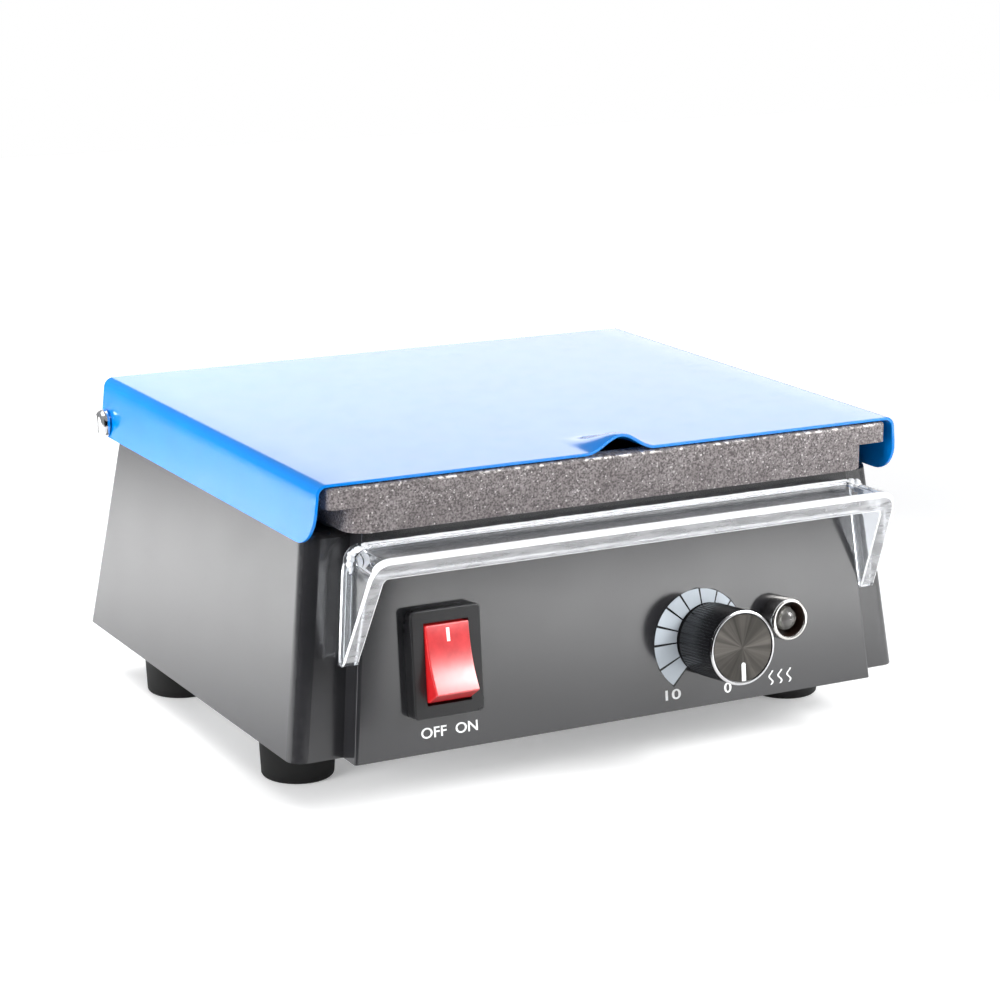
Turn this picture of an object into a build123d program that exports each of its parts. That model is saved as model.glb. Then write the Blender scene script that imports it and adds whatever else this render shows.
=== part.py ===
from build123d import *
import math
import os

# A bench-top dental wax heater: a cast aluminium tank with three wells under a hinged
# sheet-metal lid, on a plastic housing with a raised control panel.
# Millimetres, +X to the right seen from the front, +Y to the rear, +Z up, z = 0 under the feet.
# Everything is drawn about the middle of the lid and moved at the end, so that the origin
# lies under the middle of the whole object's box.

# ---- housing ----
foot_height = 11.0
housing_height = 43.4
housing_front_setback = 1.85
housing_rear_reach = 1.2
side_slope = 0.1245
front_slope = 0.1148
rear_slope = 0.150
housing_wall = 2.5
roof_thickness = 2.6
front_corner_radius = 3.2
rear_corner_radius = 2.2
top_edge_radius = 1.4

# ---- raised control panel and its clear guard ----
panel_proud = 5.33
panel_wall = 2.4
panel_side_inset = 10.5
panel_side_slope = 0.0955
panel_edge_radius = 0.7
panel_top_gap = 0.4
window_spare = 0.6
window_low = 4.2
window_high = 40.0
panel_boss_radius = 2.6
panel_boss_low = 8.0
panel_boss_high = 36.5
panel_boss_inset = 5.2
panel_screw_grip = 3.6
guard_thickness = 3.2
guard_gap = 0.1
guard_top = 41.9
guard_tip = 19.2
guard_reach = 12.6
guard_drop = 0.8
guard_front_thickness = 4.8
guard_grip = 2.1
guard_corner_radius = 3.4
guard_inner_radius = 0.8
guard_tip_radius = 1.1

# ---- wax tank ----
gasket_thickness = 0.8
gasket_inset = 0.4
tank_flange_height = 4.1
tank_plinth_height = 5.2
tank_half_width = 63.3
tank_front_reach = 0.5
tank_corner_radius = 1.6
tank_edge_radius = 0.7
plinth_side_inset = 4.5
plinth_rear_inset = 3.2
plinth_corner_radius = 4.5
tank_seat_width = 6.8
tank_seat_depth = 11.4
tank_body_depth = 15.2
tank_body_corner_radius = 6.0
tank_body_gap = 0.6
well_floor = 4.0
well_wall = 3.5
well_corner_radius = 5.0
well_floor_radius = 1.8
well_draft = 4.0
deck_drop = 4.5
rim_side = 6.3
rim_front = 4.0
rim_rear = 5.2
rim_corner_radius = 3.0
wiper_width = 2.2
wiper_height = 2.4
divider_y = -1.0
divider_width = 4.0
tank_screw_y = 30.0
tank_screw_end = 2.0
tank_hole_spare = 0.8

# ---- lid and its pivots ----
sheet = 0.6
lid_gap = 0.3
lid_side_gap = 2.05
lid_housing_gap = 0.75
lid_half_depth = 54.4
lid_flange_height = 12.2
lid_splay = 0.0985
lid_bend_radius = 2.2
lid_front_corner = 7.0
lid_rear_corner = 2.6
lift_half_width = 6.6
lift_height = 3.1
lift_length = 14.0
pivot_inset = 3.5
pivot_drop = 8.4
pivot_radius = 1.7
pivot_running = 0.05
pivot_thread_radius = 1.25
pivot_head_radius = 3.0
pivot_head_height = 1.7
pivot_lug_radius = 3.0
pivot_lug_width = 6.5
pivot_play = 0.45
washer_radius = 3.0
tank_rear_overhang = 0.3
lug_clearance = 0.3
lid_rest_gap = 0.3

# ---- rocker switch ----
switch_side_inset = 19.1
switch_s = 17.9
bezel_width = 15.0
bezel_height = 21.0
bezel_proud = 3.1
bezel_corner = 1.0
switch_body_width = 12.8
switch_body_height = 18.8
switch_body_depth = 13.5
switch_fit = 0.1
window_width = 9.6
window_height = 16.0
rocker_play = 0.15
rocker_length = 13.4
rocker_foot_length = 15.4
rocker_foot_depth = 3.2
rocker_foot_bevel = 1.4
rocker_end_height = 4.3
rocker_hollow_radius = 28.0
rocker_pivot_d = 1.2
rocker_pin_radius = 1.1
rocker_pin_length = 0.8
rocker_angle = 15.0
pocket_depth = 8.0
blade_width = 4.8
blade_thickness = 0.8
blade_length = 7.0
blade_pitch = 6.2

# ---- control: potentiometer and knob ----
knob_lamp_spacing = 17.2
knob_s = 13.75
knob_radius = 7.5
knob_gap = 0.9
knob_length = 12.1
knob_skirt_radius = 6.5
knob_skirt_depth = 4.2
knob_face_radius = 6.7
knob_face_thickness = 0.8
knob_pointer_width = 0.9
knob_pointer_length = 3.6
knob_pointer_depth = 0.3
shaft_radius = 3.0
shaft_running = 0.05
shaft_length = 9.6
bushing_radius = 3.45
bushing_length = 3.4
pot_radius = 8.2
pot_depth = 8.5
nut_flats = 10.0
nut_height = 2.0
plain_washer = 0.5

# ---- indicator lamp ----
lamp_side_inset = 22.4
lamp_s = 15.9
lamp_radius = 4.3
lamp_proud = 4.5
lamp_bore = 3.4
lamp_thread_radius = 3.9
lamp_length = 8.0
led_radius = 2.45
led_dome_start = 2.0
led_lead_x = 1.27

# ---- heater under the tank ----
heater_side_inset = 16.0
heater_end_inset = 17.0
heater_thickness = 1.6
pad_thickness = 5.0
clamp_thickness = 1.5
stud_inset = 6.0
stud_radius = 2.0
stud_depth = 3.0
stud_length = 15.5
m4_nut_flats = 7.0
m4_nut_height = 3.2
sensor_gap = 8.0
sensor_y = 0.0
sensor_sheet = 1.0
cutout_gap = 0.5
cutout_radius = 7.9
cutout_height = 9.0
cutout_ear = 3.2
cutout_ear_thickness = 0.8
cutout_ear_spacing = 23.8

# ---- base plate, feet, board ----
base_thickness = 1.2
base_clearance = 0.4
foot_inset = 12.0
foot_front_y = -28.4
foot_rear_y = 32.0
foot_radius = 7.25
foot_top_radius = 7.9
foot_recess_radius = 4.3
foot_recess_depth = 3.6
base_boss_inset = 8.7
base_boss_front_y = -44.5
base_boss_rear_y = 46.5
base_boss_radius = 3.6
base_boss_height = 12.0
screw_radius = 1.5
screw_slack = 0.2
screw_fit = 0.05
screw_head_radius = 2.8
screw_head_height = 1.9
board_inset = 34.0
board_y = 2.0
board_width = 44.0
board_depth = 44.0
board_thickness = 1.6
standoff_height = 6.0
standoff_radius = 2.6
standoff_inset = 3.6
earth_inset = 24.0
earth_y = -30.0
earth_lug_sheet = 0.8

# ---- parts on the board, their places counted from its middle ----
relay_place = (-11.0, 5.0)
relay_half_width = 9.5
relay_half_depth = 7.7
relay_height = 15.0
film_place = (-9.5, -11.0)
film_half_width = 9.0
film_half_depth = 3.5
film_height = 11.0
can_place = (-8.0, 17.4)
can_radius = 4.0
can_height = 10.0
terminal_place = (17.4, 1.0)
terminal_half_width = 4.2
terminal_height = 8.4
terminal_ways = 5
terminal_pitch = 5.0
fuse_place = (5.0, -18.4)
fuse_glass_radius = 2.3
fuse_glass_half_length = 6.0
fuse_cap_radius = 2.6
fuse_cap_length = 4.0
fuse_rise = 4.0
clip_half_width = 1.6

# ---- mains inlet on the rear wall ----
inlet_x = 33.0
inlet_s = 16.5
inlet_flange_width = 50.0
inlet_flange_height = 22.5
inlet_flange = 2.6
inlet_width = 27.0
inlet_height = 20.0
inlet_depth = 15.0
inlet_fit = 0.3
inlet_socket_width = 23.6
inlet_socket_height = 16.4
inlet_socket_depth = 14.5
inlet_screw_spacing = 40.0
pin_half_width = 1.0
pin_half_height = 2.0

# ---- worked out from these: widths, from the tank outwards ----
lid_half_width = tank_half_width + lid_side_gap
plinth_half_width = tank_half_width - plinth_side_inset
tank_body_half_width = plinth_half_width - tank_seat_width
housing_top_half_width = lid_half_width - lid_housing_gap
housing_bottom_half_width = housing_top_half_width + housing_height * side_slope
panel_half_width = housing_bottom_half_width - panel_side_inset
foot_x = housing_bottom_half_width - foot_inset
base_boss_x = housing_bottom_half_width - base_boss_inset
board_x = board_inset - housing_bottom_half_width
earth_x = housing_bottom_half_width - earth_inset
switch_x = switch_side_inset - panel_half_width
lamp_x = panel_half_width - lamp_side_inset
knob_x = lamp_x - knob_lamp_spacing
window_half_width = switch_body_width / 2 - switch_x + window_spare
heater_half_width = tank_body_half_width - heater_side_inset
stud_x = heater_half_width - stud_inset
sensor_x = -heater_half_width - sensor_gap
cutout_x = heater_half_width + cutout_gap + cutout_radius

# ---- depths, from the lid ----
tank_front_y = -lid_half_depth - tank_front_reach
housing_front_y = housing_front_setback - lid_half_depth
housing_rear_y = lid_half_depth + housing_rear_reach
pivot_y = lid_half_depth - pivot_inset
tank_body_half_depth = lid_half_depth - tank_seat_depth
heater_half_depth = tank_body_half_depth - heater_end_inset
stud_y = heater_half_depth - stud_inset

# ---- heights, from the bench up ----
housing_bottom_z = foot_height
housing_top_z = housing_bottom_z + housing_height
plinth_bottom_z = housing_top_z + gasket_thickness
plinth_top_z = plinth_bottom_z + tank_plinth_height
tank_top_z = plinth_top_z + tank_flange_height
tank_underside_z = plinth_bottom_z - tank_body_depth
deck_z = tank_top_z - deck_drop
lid_under_z = tank_top_z + lid_gap
lid_top_z = lid_under_z + sheet
lid_bottom_z = lid_top_z - lid_flange_height
pivot_z = tank_top_z - pivot_drop
tank_rear_y = pivot_y + tank_rear_overhang
plinth_rear_y = tank_rear_y - plinth_rear_inset
panel_tilt = math.atan(front_slope)
rear_tilt = math.atan(rear_slope)
panel_front_y = housing_front_y - panel_proud / math.cos(panel_tilt)
base_top_z = housing_bottom_z + base_thickness
board_top_z = base_top_z + standoff_height + board_thickness

# Frames of the sloping faces: local x along the face, y up the slope, z straight out of it.
panel_frame = Plane(
    origin=(0, panel_front_y, housing_bottom_z),
    x_dir=(1, 0, 0),
    z_dir=(0, -math.cos(panel_tilt), math.sin(panel_tilt)),
)
rear_frame = Plane(
    origin=(0, housing_rear_y, housing_bottom_z),
    x_dir=(-1, 0, 0),
    z_dir=(0, math.cos(rear_tilt), math.sin(rear_tilt)),
)


# ---- small drawing helpers ----
def block(x0, x1, y0, y1, z0, z1):
    """Box between two corners."""
    middle = Pos((x0 + x1) / 2, (y0 + y1) / 2, (z0 + z1) / 2)
    return middle * Box(x1 - x0, y1 - y0, z1 - z0)


def rounded_block(x0, x1, y0, y1, z0, z1, radius):
    """Box with its four upright edges rounded."""
    body = block(x0, x1, y0, y1, z0, z1)
    return fillet(body.edges().filter_by(Axis.Z), radius)


def rod(radius, z0, z1):
    """Cylinder on the Z axis between two heights."""
    return Pos(0, 0, (z0 + z1) / 2) * Cylinder(radius, z1 - z0)


def hexagon(flats, z0, z1):
    """Hexagonal prism, given across its flats."""
    outline = RegularPolygon(flats / 2, 6, major_radius=False)
    return Pos(0, 0, z0) * extrude(outline, z1 - z0)


def along_x(shape):
    """Turn a shape drawn up the Z axis to lie along +X."""
    return Rot(0, 90, 0) * shape


def along_y(shape):
    """Turn a shape drawn up the Z axis to lie along +Y."""
    return Rot(-90, 0, 0) * shape


def pan_screw(shank_radius, shank, head_radius, head_height):
    """Pan-head screw with a cross recess: head below z = 0, shank above it."""
    head = rod(head_radius, -head_height, 0)
    head = fillet(head.edges().group_by(Axis.Z)[0], head_height * 0.6)
    slot_depth = head_height * 0.45
    slot = Pos(0, 0, -head_height + slot_depth / 2)
    slot_width = head_radius * 0.28
    cross = slot * Box(head_radius * 1.1, slot_width, slot_depth)
    cross += slot * Box(slot_width, head_radius * 1.1, slot_depth)
    return head - cross + rod(shank_radius, 0, shank)


def nut(flats, height, bore_radius):
    """Hexagon nut standing on z = 0."""
    return hexagon(flats, 0, height) - rod(bore_radius, 0, height)


def group(pieces):
    """Several separate solids kept together in one sub-part."""
    return Compound([solid for piece in pieces for solid in piece.solids()])


def on_panel(x, s, shape):
    """Place a shape on the control panel's face, s up the slope."""
    return panel_frame.location * Pos(x, s, 0) * shape


def on_rear(x, s, shape):
    """Place a shape on the housing's rear wall, s up the slope."""
    return rear_frame.location * Pos(-x, s, 0) * shape


def corner_pairs(x, y_front, y_rear):
    """The four places of a left-right symmetrical rectangle."""
    return [(side * x, y) for side in (-1, 1) for y in (y_front, y_rear)]


# ---- housing, base plate and feet ----
def housing_section(z, inset):
    """Rounded outline of the housing at a height, drawn in by an inset."""
    rise = z - housing_bottom_z
    half = housing_bottom_half_width - rise * side_slope - inset
    front = housing_front_y + rise * front_slope + inset
    rear = housing_rear_y - rise * rear_slope - inset
    outline = Pos(0, (front + rear) / 2, z) * Rectangle(2 * half, rear - front)
    front_radius = max(front_corner_radius - inset, 0.5)
    rear_radius = max(rear_corner_radius - inset, 0.5)
    outline = fillet(outline.vertices().group_by(Axis.Y)[0], front_radius)
    return fillet(outline.vertices().group_by(Axis.Y)[-1], rear_radius)


def housing_block(z0, z1, inset):
    """Tapered solid of the housing between two heights."""
    return loft([housing_section(z0, inset), housing_section(z1, inset)], ruled=True)


def base_boss_places():
    return corner_pairs(base_boss_x, base_boss_front_y, base_boss_rear_y)


def make_housing():
    outer = housing_block(housing_bottom_z, housing_top_z, 0)
    rim = outer.edges().group_by(Axis.Z)[-1]
    outer = fillet(rim, top_edge_radius)
    shell = outer - housing_block(housing_bottom_z - 1, housing_top_z - roof_thickness, housing_wall)
    # corner bosses for the base plate's screws, tied to the side walls
    bosses = Part()
    for x, y in base_boss_places():
        side = math.copysign(1, x)
        post = Pos(x, y, 0) * rod(base_boss_radius, base_top_z, base_top_z + base_boss_height)
        reach = sorted((x, side * housing_bottom_half_width))
        web = block(*reach, y - 1, y + 1, base_top_z, base_top_z + base_boss_height)
        bosses += [post, web]
    shell += bosses & outer
    for x, y in base_boss_places():
        pilot = rod(screw_radius + screw_fit, base_top_z - 1, base_top_z + base_boss_height - 2)
        shell -= Pos(x, y, 0) * pilot
    # roof opening for the tank and its screw holes
    opening = tank_body_half_width + tank_body_gap
    depth = tank_body_half_depth + tank_body_gap
    roof = (housing_top_z - roof_thickness - 1, housing_top_z + 1)
    corner = tank_body_corner_radius + tank_body_gap
    shell -= rounded_block(-opening, opening, -depth, depth, *roof, corner)
    for x, y in tank_screw_places():
        shell -= Pos(x, y, 0) * rod(screw_radius + screw_slack, *roof)
    # window behind the control panel and the panel's screw holes
    skin = (-panel_proud - housing_wall - 1, -panel_proud + 1)
    window = block(-window_half_width, window_half_width, window_low, window_high, *skin)
    shell -= on_panel(0, 0, window)
    for x, s in panel_boss_places():
        shell -= on_panel(x, s, rod(screw_radius + screw_slack, *skin))
    # cut-out of the mains inlet
    through = (-housing_wall - 1, 1)
    half_width = inlet_width / 2 + inlet_fit
    half_height = inlet_height / 2 + inlet_fit
    cut = block(-half_width, half_width, -half_height, half_height, *through)
    shell -= on_rear(inlet_x, inlet_s, cut)
    for side in (-1, 1):
        hole = rod(screw_radius + screw_slack, *through)
        shell -= on_rear(inlet_x + side * inlet_screw_spacing / 2, inlet_s, hole)
    return shell


def make_base_plate():
    section = housing_section(housing_bottom_z, housing_wall + base_clearance)
    plate = extrude(section, base_thickness)
    through = (housing_bottom_z - 1, base_top_z + 1)
    for x, y in base_boss_places():
        plate -= Pos(x, y, 0) * rod(screw_radius + screw_slack, *through)
    for x, y in foot_places():
        plate -= Pos(x, y, 0) * rod(stud_radius + screw_slack, *through)
    for x, y in board_hole_places():
        plate -= Pos(x, y, 0) * rod(screw_radius + screw_slack, *through)
    # two rows of cooling slots
    slot = SlotOverall(16, 2.4, rotation=90)
    for row in (-1, 1):
        for step in range(6):
            place = Pos(20 + step * 6, row * 14 + 2, housing_bottom_z - 1)
            plate -= place * extrude(slot, base_thickness + 2)
    plate -= Pos(earth_x, earth_y, 0) * rod(stud_radius + screw_fit, *through)
    return plate


def make_base_screws():
    screw = pan_screw(screw_radius, 9.0, screw_head_radius, screw_head_height)
    return group([Pos(x, y, housing_bottom_z) * screw for x, y in base_boss_places()])


def foot_places():
    return corner_pairs(foot_x, foot_front_y, foot_rear_y)


def make_feet():
    foot = Pos(0, 0, foot_height / 2) * Cone(foot_radius, foot_top_radius, foot_height)
    foot = fillet(foot.edges().group_by(Axis.Z)[0], 0.8)
    foot -= rod(foot_recess_radius, -1, foot_recess_depth)
    foot -= rod(stud_radius + screw_slack, foot_recess_depth - 1, foot_height + 1)
    return group([Pos(x, y, 0) * foot for x, y in foot_places()])


def make_foot_screws():
    length = base_top_z - foot_recess_depth + m4_nut_height + 1
    screw = pan_screw(stud_radius, length, 3.8, 2.2)
    return group([Pos(x, y, foot_recess_depth) * screw for x, y in foot_places()])


def make_foot_nuts():
    piece = nut(m4_nut_flats, m4_nut_height, stud_radius + screw_fit)
    return group([Pos(x, y, base_top_z) * piece for x, y in foot_places()])


# ---- control panel ----
def panel_edge(s):
    """Half-width of the panel at a height up the slope."""
    return panel_half_width - s * panel_side_slope


def panel_outline(inset, low, high):
    """Tapered outline of the panel between two heights up the slope."""
    points = [
        (-panel_edge(low) + inset, low),
        (panel_edge(low) - inset, low),
        (panel_edge(high) - inset, high),
        (-panel_edge(high) + inset, high),
    ]
    return make_face(Polyline(*points, close=True))


def panel_boss_places():
    places = []
    for s in (panel_boss_low, panel_boss_high):
        x = panel_edge(s) - panel_boss_inset
        places += [(-x, s), (x, s)]
    return places


def make_front_panel():
    top_z = plinth_bottom_z - panel_top_gap
    rise = (top_z - housing_bottom_z) / math.cos(panel_tilt)
    slab = extrude(panel_outline(0, -4, rise + 4), -panel_proud)
    long_edges = slab.edges().group_by(Axis.Z)[-1].filter_by(lambda edge: edge.length > rise)
    slab = fillet([edge for edge in long_edges if abs(edge.center().X) > 10], panel_edge_radius)
    cavity = panel_outline(panel_wall, panel_wall, rise - panel_wall)
    slab -= Pos(0, 0, -panel_proud - 1) * extrude(cavity, panel_proud + 1 - panel_wall)
    for x, s in panel_boss_places():
        slab += Pos(x, s, 0) * rod(panel_boss_radius, -panel_proud, -panel_wall / 2)
        slab -= Pos(x, s, 0) * rod(screw_radius + screw_fit, -panel_proud - 1, -1.2)
    half_width = switch_body_width / 2 + switch_fit
    half_height = switch_body_height / 2 + switch_fit
    cut = block(-half_width, half_width, -half_height, half_height, -panel_proud, 1)
    slab -= Pos(switch_x, switch_s, 0) * cut
    slab -= Pos(knob_x, knob_s, 0) * rod(bushing_radius + screw_fit, -panel_proud, 1)
    slab -= Pos(lamp_x, lamp_s, 0) * rod(lamp_thread_radius + screw_fit, -panel_proud, 1)
    reach = 2 * panel_half_width
    keep = block(-reach, reach, panel_front_y - 20, 0, housing_bottom_z, top_z)
    return (panel_frame.location * slab) & keep


def make_panel_screws():
    length = housing_wall + panel_screw_grip
    screw = pan_screw(screw_radius, length, screw_head_radius, screw_head_height)
    start = -panel_proud - housing_wall
    return group([on_panel(x, s, Pos(0, 0, start) * screw) for x, s in panel_boss_places()])


def make_splash_guard():
    """Clear moulded hood over the controls: a top plate and two wedge-shaped cheeks."""
    span = 2 * housing_bottom_half_width
    sideways = Plane(origin=(span / 2, 0, 0), x_dir=(0, 0, 1), z_dir=(-1, 0, 0))
    front_top = guard_top - guard_drop
    # side views, in (d, s): the cheeks narrow to rounded tips and the plate falls to the front
    outer_side = make_face(
        Polyline(
            (-guard_grip, guard_tip),
            (0, guard_tip),
            (guard_reach, front_top),
            (0, guard_top),
            (-guard_grip, guard_top),
            close=True,
        )
    )
    outer_side = fillet(outer_side.vertices().group_by(Axis.Y)[0], guard_tip_radius)
    inner_side = make_face(
        Polyline(
            (0, 0),
            (guard_reach + 1, 0),
            (guard_reach + 1, front_top - guard_front_thickness),
            (0, guard_top - guard_thickness),
            close=True,
        )
    )
    outline = panel_outline(-guard_gap - guard_thickness, guard_tip - 1, guard_top)
    outline = fillet(outline.vertices().group_by(Axis.Y)[-1], guard_corner_radius)
    outer = Pos(0, 0, -guard_grip) * extrude(outline, guard_grip + guard_reach)
    outer = outer & extrude(sideways.location * outer_side, span)
    inner = extrude(panel_outline(-guard_gap, 0, guard_top), guard_reach + 1)
    inner = inner & extrude(sideways.location * inner_side, span)
    top_edges = inner.edges().filter_by(lambda edge: edge.center().Y > guard_top / 2)
    corners = top_edges.filter_by(lambda edge: abs(edge.center().X) > panel_edge(guard_top) - 2)
    inner = fillet(corners.filter_by(lambda edge: edge.length > guard_reach), guard_inner_radius)
    # behind the panel's face only the cheeks go on, down the panel's sides
    behind = extrude(panel_outline(-guard_gap, 0, guard_top + 1), -guard_grip - 1)
    return panel_frame.location * (outer - inner - behind)


# ---- tank, gasket and lid ----
def tank_screw_places():
    x = (tank_body_half_width + tank_body_gap + plinth_half_width) / 2
    return corner_pairs(x, -tank_screw_y, tank_screw_y)


def well_boxes():
    """Plan corners of the three wells at the deck: one wide, two small."""
    x = tank_body_half_width - well_wall
    y = tank_body_half_depth - well_wall
    half = divider_width / 2
    return {
        "wide": (-x, x, -y, divider_y - half),
        "left": (-x, -half, divider_y + half, y),
        "right": (half, x, divider_y + half, y),
    }


def make_well(corners):
    """Pocket with rounded corners and drafted walls, open above the deck."""
    x0, x1, y0, y1 = corners
    floor_z = tank_underside_z + well_floor
    centre = Pos((x0 + x1) / 2, (y0 + y1) / 2, deck_z)
    outline = RectangleRounded(x1 - x0, y1 - y0, well_corner_radius)
    pocket = extrude(centre * outline, deck_z - floor_z, dir=(0, 0, -1), taper=well_draft)
    floor_edges = pocket.edges().group_by(Axis.Z)[0]
    pocket = fillet(floor_edges, well_floor_radius)
    return pocket + extrude(centre * outline, 1)


def make_wax_tank():
    flange = rounded_block(
        -tank_half_width,
        tank_half_width,
        tank_front_y,
        tank_rear_y,
        plinth_top_z,
        tank_top_z,
        tank_corner_radius,
    )
    flange = fillet(flange.edges().group_by(Axis.Z)[-1], tank_edge_radius)
    plinth = rounded_block(
        -plinth_half_width,
        plinth_half_width,
        tank_front_y,
        plinth_rear_y,
        plinth_bottom_z,
        plinth_top_z,
        plinth_corner_radius,
    )
    body = rounded_block(
        -tank_body_half_width,
        tank_body_half_width,
        -tank_body_half_depth,
        tank_body_half_depth,
        tank_underside_z,
        plinth_bottom_z + 1,
        tank_body_corner_radius,
    )
    tank = flange + plinth + body
    recess = rounded_block(
        -tank_half_width + rim_side,
        tank_half_width - rim_side,
        tank_front_y + rim_front,
        tank_rear_y - rim_rear,
        deck_z,
        tank_top_z + 1,
        rim_corner_radius,
    )
    tank -= recess
    for corners in well_boxes().values():
        tank -= make_well(corners)
    # raised wiping bars between the wells
    well_half = tank_body_half_width - well_wall
    bars = block(
        -well_half,
        well_half,
        divider_y - wiper_width / 2,
        divider_y + wiper_width / 2,
        deck_z - 0.5,
        deck_z + wiper_height,
    )
    bars += block(
        -wiper_width / 2,
        wiper_width / 2,
        divider_y,
        tank_body_half_depth - well_wall,
        deck_z - 0.5,
        deck_z + wiper_height,
    )
    tank += bars
    # hinge lugs beside the plinth, clear of the housing's rear edge
    for side in (-1, 1):
        reach = sorted((side * (tank_half_width - pivot_lug_width), side * tank_half_width))
        lug = along_x(rod(pivot_lug_radius, *reach))
        lug = Pos(0, pivot_y, pivot_z) * lug
        lug += block(*reach, pivot_y - pivot_lug_radius, tank_rear_y, pivot_z, plinth_top_z)
        lug -= block(*reach, 0, rear_clear_y(), 0, housing_top_z + lug_clearance)
        tank += lug
    for side in (-1, 1):
        ends = sorted((side * pivot_thread_x(), side * (tank_half_width + 1)))
        tank -= Pos(0, pivot_y, pivot_z) * along_x(rod(pivot_thread_radius + screw_fit, *ends))
    hole_top = deck_z - tank_screw_end + tank_hole_spare
    for x, y in tank_screw_places():
        tank -= Pos(x, y, 0) * rod(screw_radius + screw_fit, plinth_bottom_z - 1, hole_top)
    bore = (tank_underside_z - 1, tank_underside_z + stud_depth)
    for x, y in corner_pairs(stud_x, -stud_y, stud_y):
        tank -= Pos(x, y, 0) * rod(stud_radius + screw_fit, *bore)
    for x, y in cutout_screw_places() + [(sensor_x, sensor_y)]:
        tank -= Pos(x, y, 0) * rod(screw_radius + screw_fit, *bore)
    return tank


def rear_clear_y():
    """Just behind the housing's rear wall at its top edge."""
    rise = pivot_z - pivot_lug_radius - housing_bottom_z
    return housing_rear_y - rise * rear_slope + lug_clearance


def lid_open_angle():
    """Degrees at which the plate's rear edge comes to rest on the housing's rear wall."""
    across = lid_half_depth - pivot_y
    up = lid_under_z - pivot_z
    wall_y = housing_rear_y - (pivot_z - housing_bottom_z) * rear_slope - pivot_y
    wall_distance = wall_y * math.cos(rear_tilt)
    swing = math.acos((wall_distance + lid_rest_gap) / math.hypot(across, up))
    return math.degrees(math.atan2(up, across) - rear_tilt + swing)


def pivot_thread_x():
    """Inner end of the tapped holes in the hinge lugs."""
    return tank_half_width - pivot_lug_width + 1.2


def make_tank_gasket():
    half_width = plinth_half_width - gasket_inset
    front = housing_front_y + housing_height * front_slope + top_edge_radius
    levels = (housing_top_z, plinth_bottom_z)
    ring = rounded_block(
        -half_width, half_width, front, plinth_rear_y - gasket_inset, *levels, rim_corner_radius
    )
    gap = tank_body_gap / 2
    opening = tank_body_half_width + gap
    depth = tank_body_half_depth + gap
    ring -= rounded_block(-opening, opening, -depth, depth, *levels, tank_body_corner_radius + gap)
    for x, y in tank_screw_places():
        ring -= Pos(x, y, 0) * rod(screw_radius + screw_slack, housing_top_z - 1, plinth_bottom_z + 1)
    return ring


def make_tank_screws():
    start = housing_top_z - roof_thickness
    length = deck_z - tank_screw_end - start
    screw = pan_screw(screw_radius, length, screw_head_radius, screw_head_height)
    return group([Pos(x, y, start) * screw for x, y in tank_screw_places()])


def lid_profile(inset, bottom):
    """Cross-section of the lid as a filled outline, drawn in by the sheet's thickness."""
    top = lid_top_z - inset
    half = lid_half_width - inset
    spread = half + (top - bottom) * lid_splay
    points = [(-spread, bottom), (-half, top), (half, top), (spread, bottom)]
    outline = make_face(Polyline(*points, close=True))
    return fillet(outline.vertices().group_by(Axis.Y)[-1], lid_bend_radius - inset)


def make_lid():
    across = Plane(origin=(0, -lid_half_depth, 0), x_dir=(1, 0, 0), z_dir=(0, -1, 0))
    outer = extrude(across.location * lid_profile(0, lid_bottom_z), -2 * lid_half_depth)
    inner = extrude(across.location * lid_profile(sheet, lid_bottom_z - 5), -2 * lid_half_depth)
    lid = outer - inner
    # rounded lower corners of the flanges
    reach = 2 * lid_half_width
    side = Plane(origin=(-reach, 0, 0), x_dir=(0, 1, 0), z_dir=(1, 0, 0))
    tall = 2 * lid_flange_height
    outline = Pos(0, lid_bottom_z + tall / 2) * Rectangle(2 * lid_half_depth, tall)
    low = outline.vertices().group_by(Axis.Y)[0].sort_by(Axis.X)
    outline = fillet(low[0], lid_front_corner)
    low = outline.vertices().group_by(Axis.X)[-1].sort_by(Axis.Y)
    outline = fillet(low[0], lid_rear_corner)
    lid = lid & extrude(side.location * outline, 2 * reach)
    # pressed-up finger lift at the middle of the front edge
    ball = (lift_half_width**2 + lift_height**2) / (2 * lift_height)
    drop = ball - lift_height
    place = Pos(0, -lid_half_depth + lift_length / 2, lid_top_z - drop)
    bump = place * along_y(Cone(ball, drop, lift_length))
    bump = bump & block(-ball, ball, -lid_half_depth, 0, lid_under_z, lid_top_z + ball)
    hollow = place * along_y(Cone(ball - sheet, drop - sheet, lift_length))
    lid = lid + bump - hollow
    # holes on the pivots
    for side in (-1, 1):
        reach = sorted((side * (lid_half_width - 4), side * (lid_half_width + 6)))
        lid -= Pos(0, pivot_y, pivot_z) * along_x(rod(pivot_radius + pivot_running, *reach))
    return lid


def pivot_flange_x():
    """Outer face of the lid's flange at the pivot's height."""
    return lid_half_width + (lid_top_z - pivot_z) * lid_splay


def make_lid_pivot_screws():
    """Shoulder screws: thread in the tank's lug, smooth shoulder through the lid."""
    head_x = pivot_flange_x() + pivot_play
    thread_start = pivot_thread_x() + tank_hole_spare
    head = rod(pivot_head_radius, head_x, head_x + pivot_head_height)
    head = fillet(head.edges().group_by(Axis.Z)[-1], pivot_head_height * 0.75)
    slot = Pos(0, 0, head_x + pivot_head_height) * Box(pivot_head_radius * 1.3, 0.7, 1.2)
    screw = head - slot + rod(pivot_radius, tank_half_width, head_x)
    screw += rod(pivot_thread_radius, thread_start, tank_half_width)
    right = Pos(0, pivot_y, pivot_z) * along_x(screw)
    return group([right, mirror(right, Plane.YZ)])


def make_lid_pivot_washers():
    """Nylon spacers that keep the lid's flanges off the tank."""
    thickness = pivot_flange_x() - sheet - pivot_play - tank_half_width
    washer = rod(washer_radius, 0, thickness) - rod(pivot_radius + screw_fit, 0, thickness)
    right = Pos(tank_half_width, pivot_y, pivot_z) * along_x(washer)
    return group([right, mirror(right, Plane.YZ)])


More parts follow.
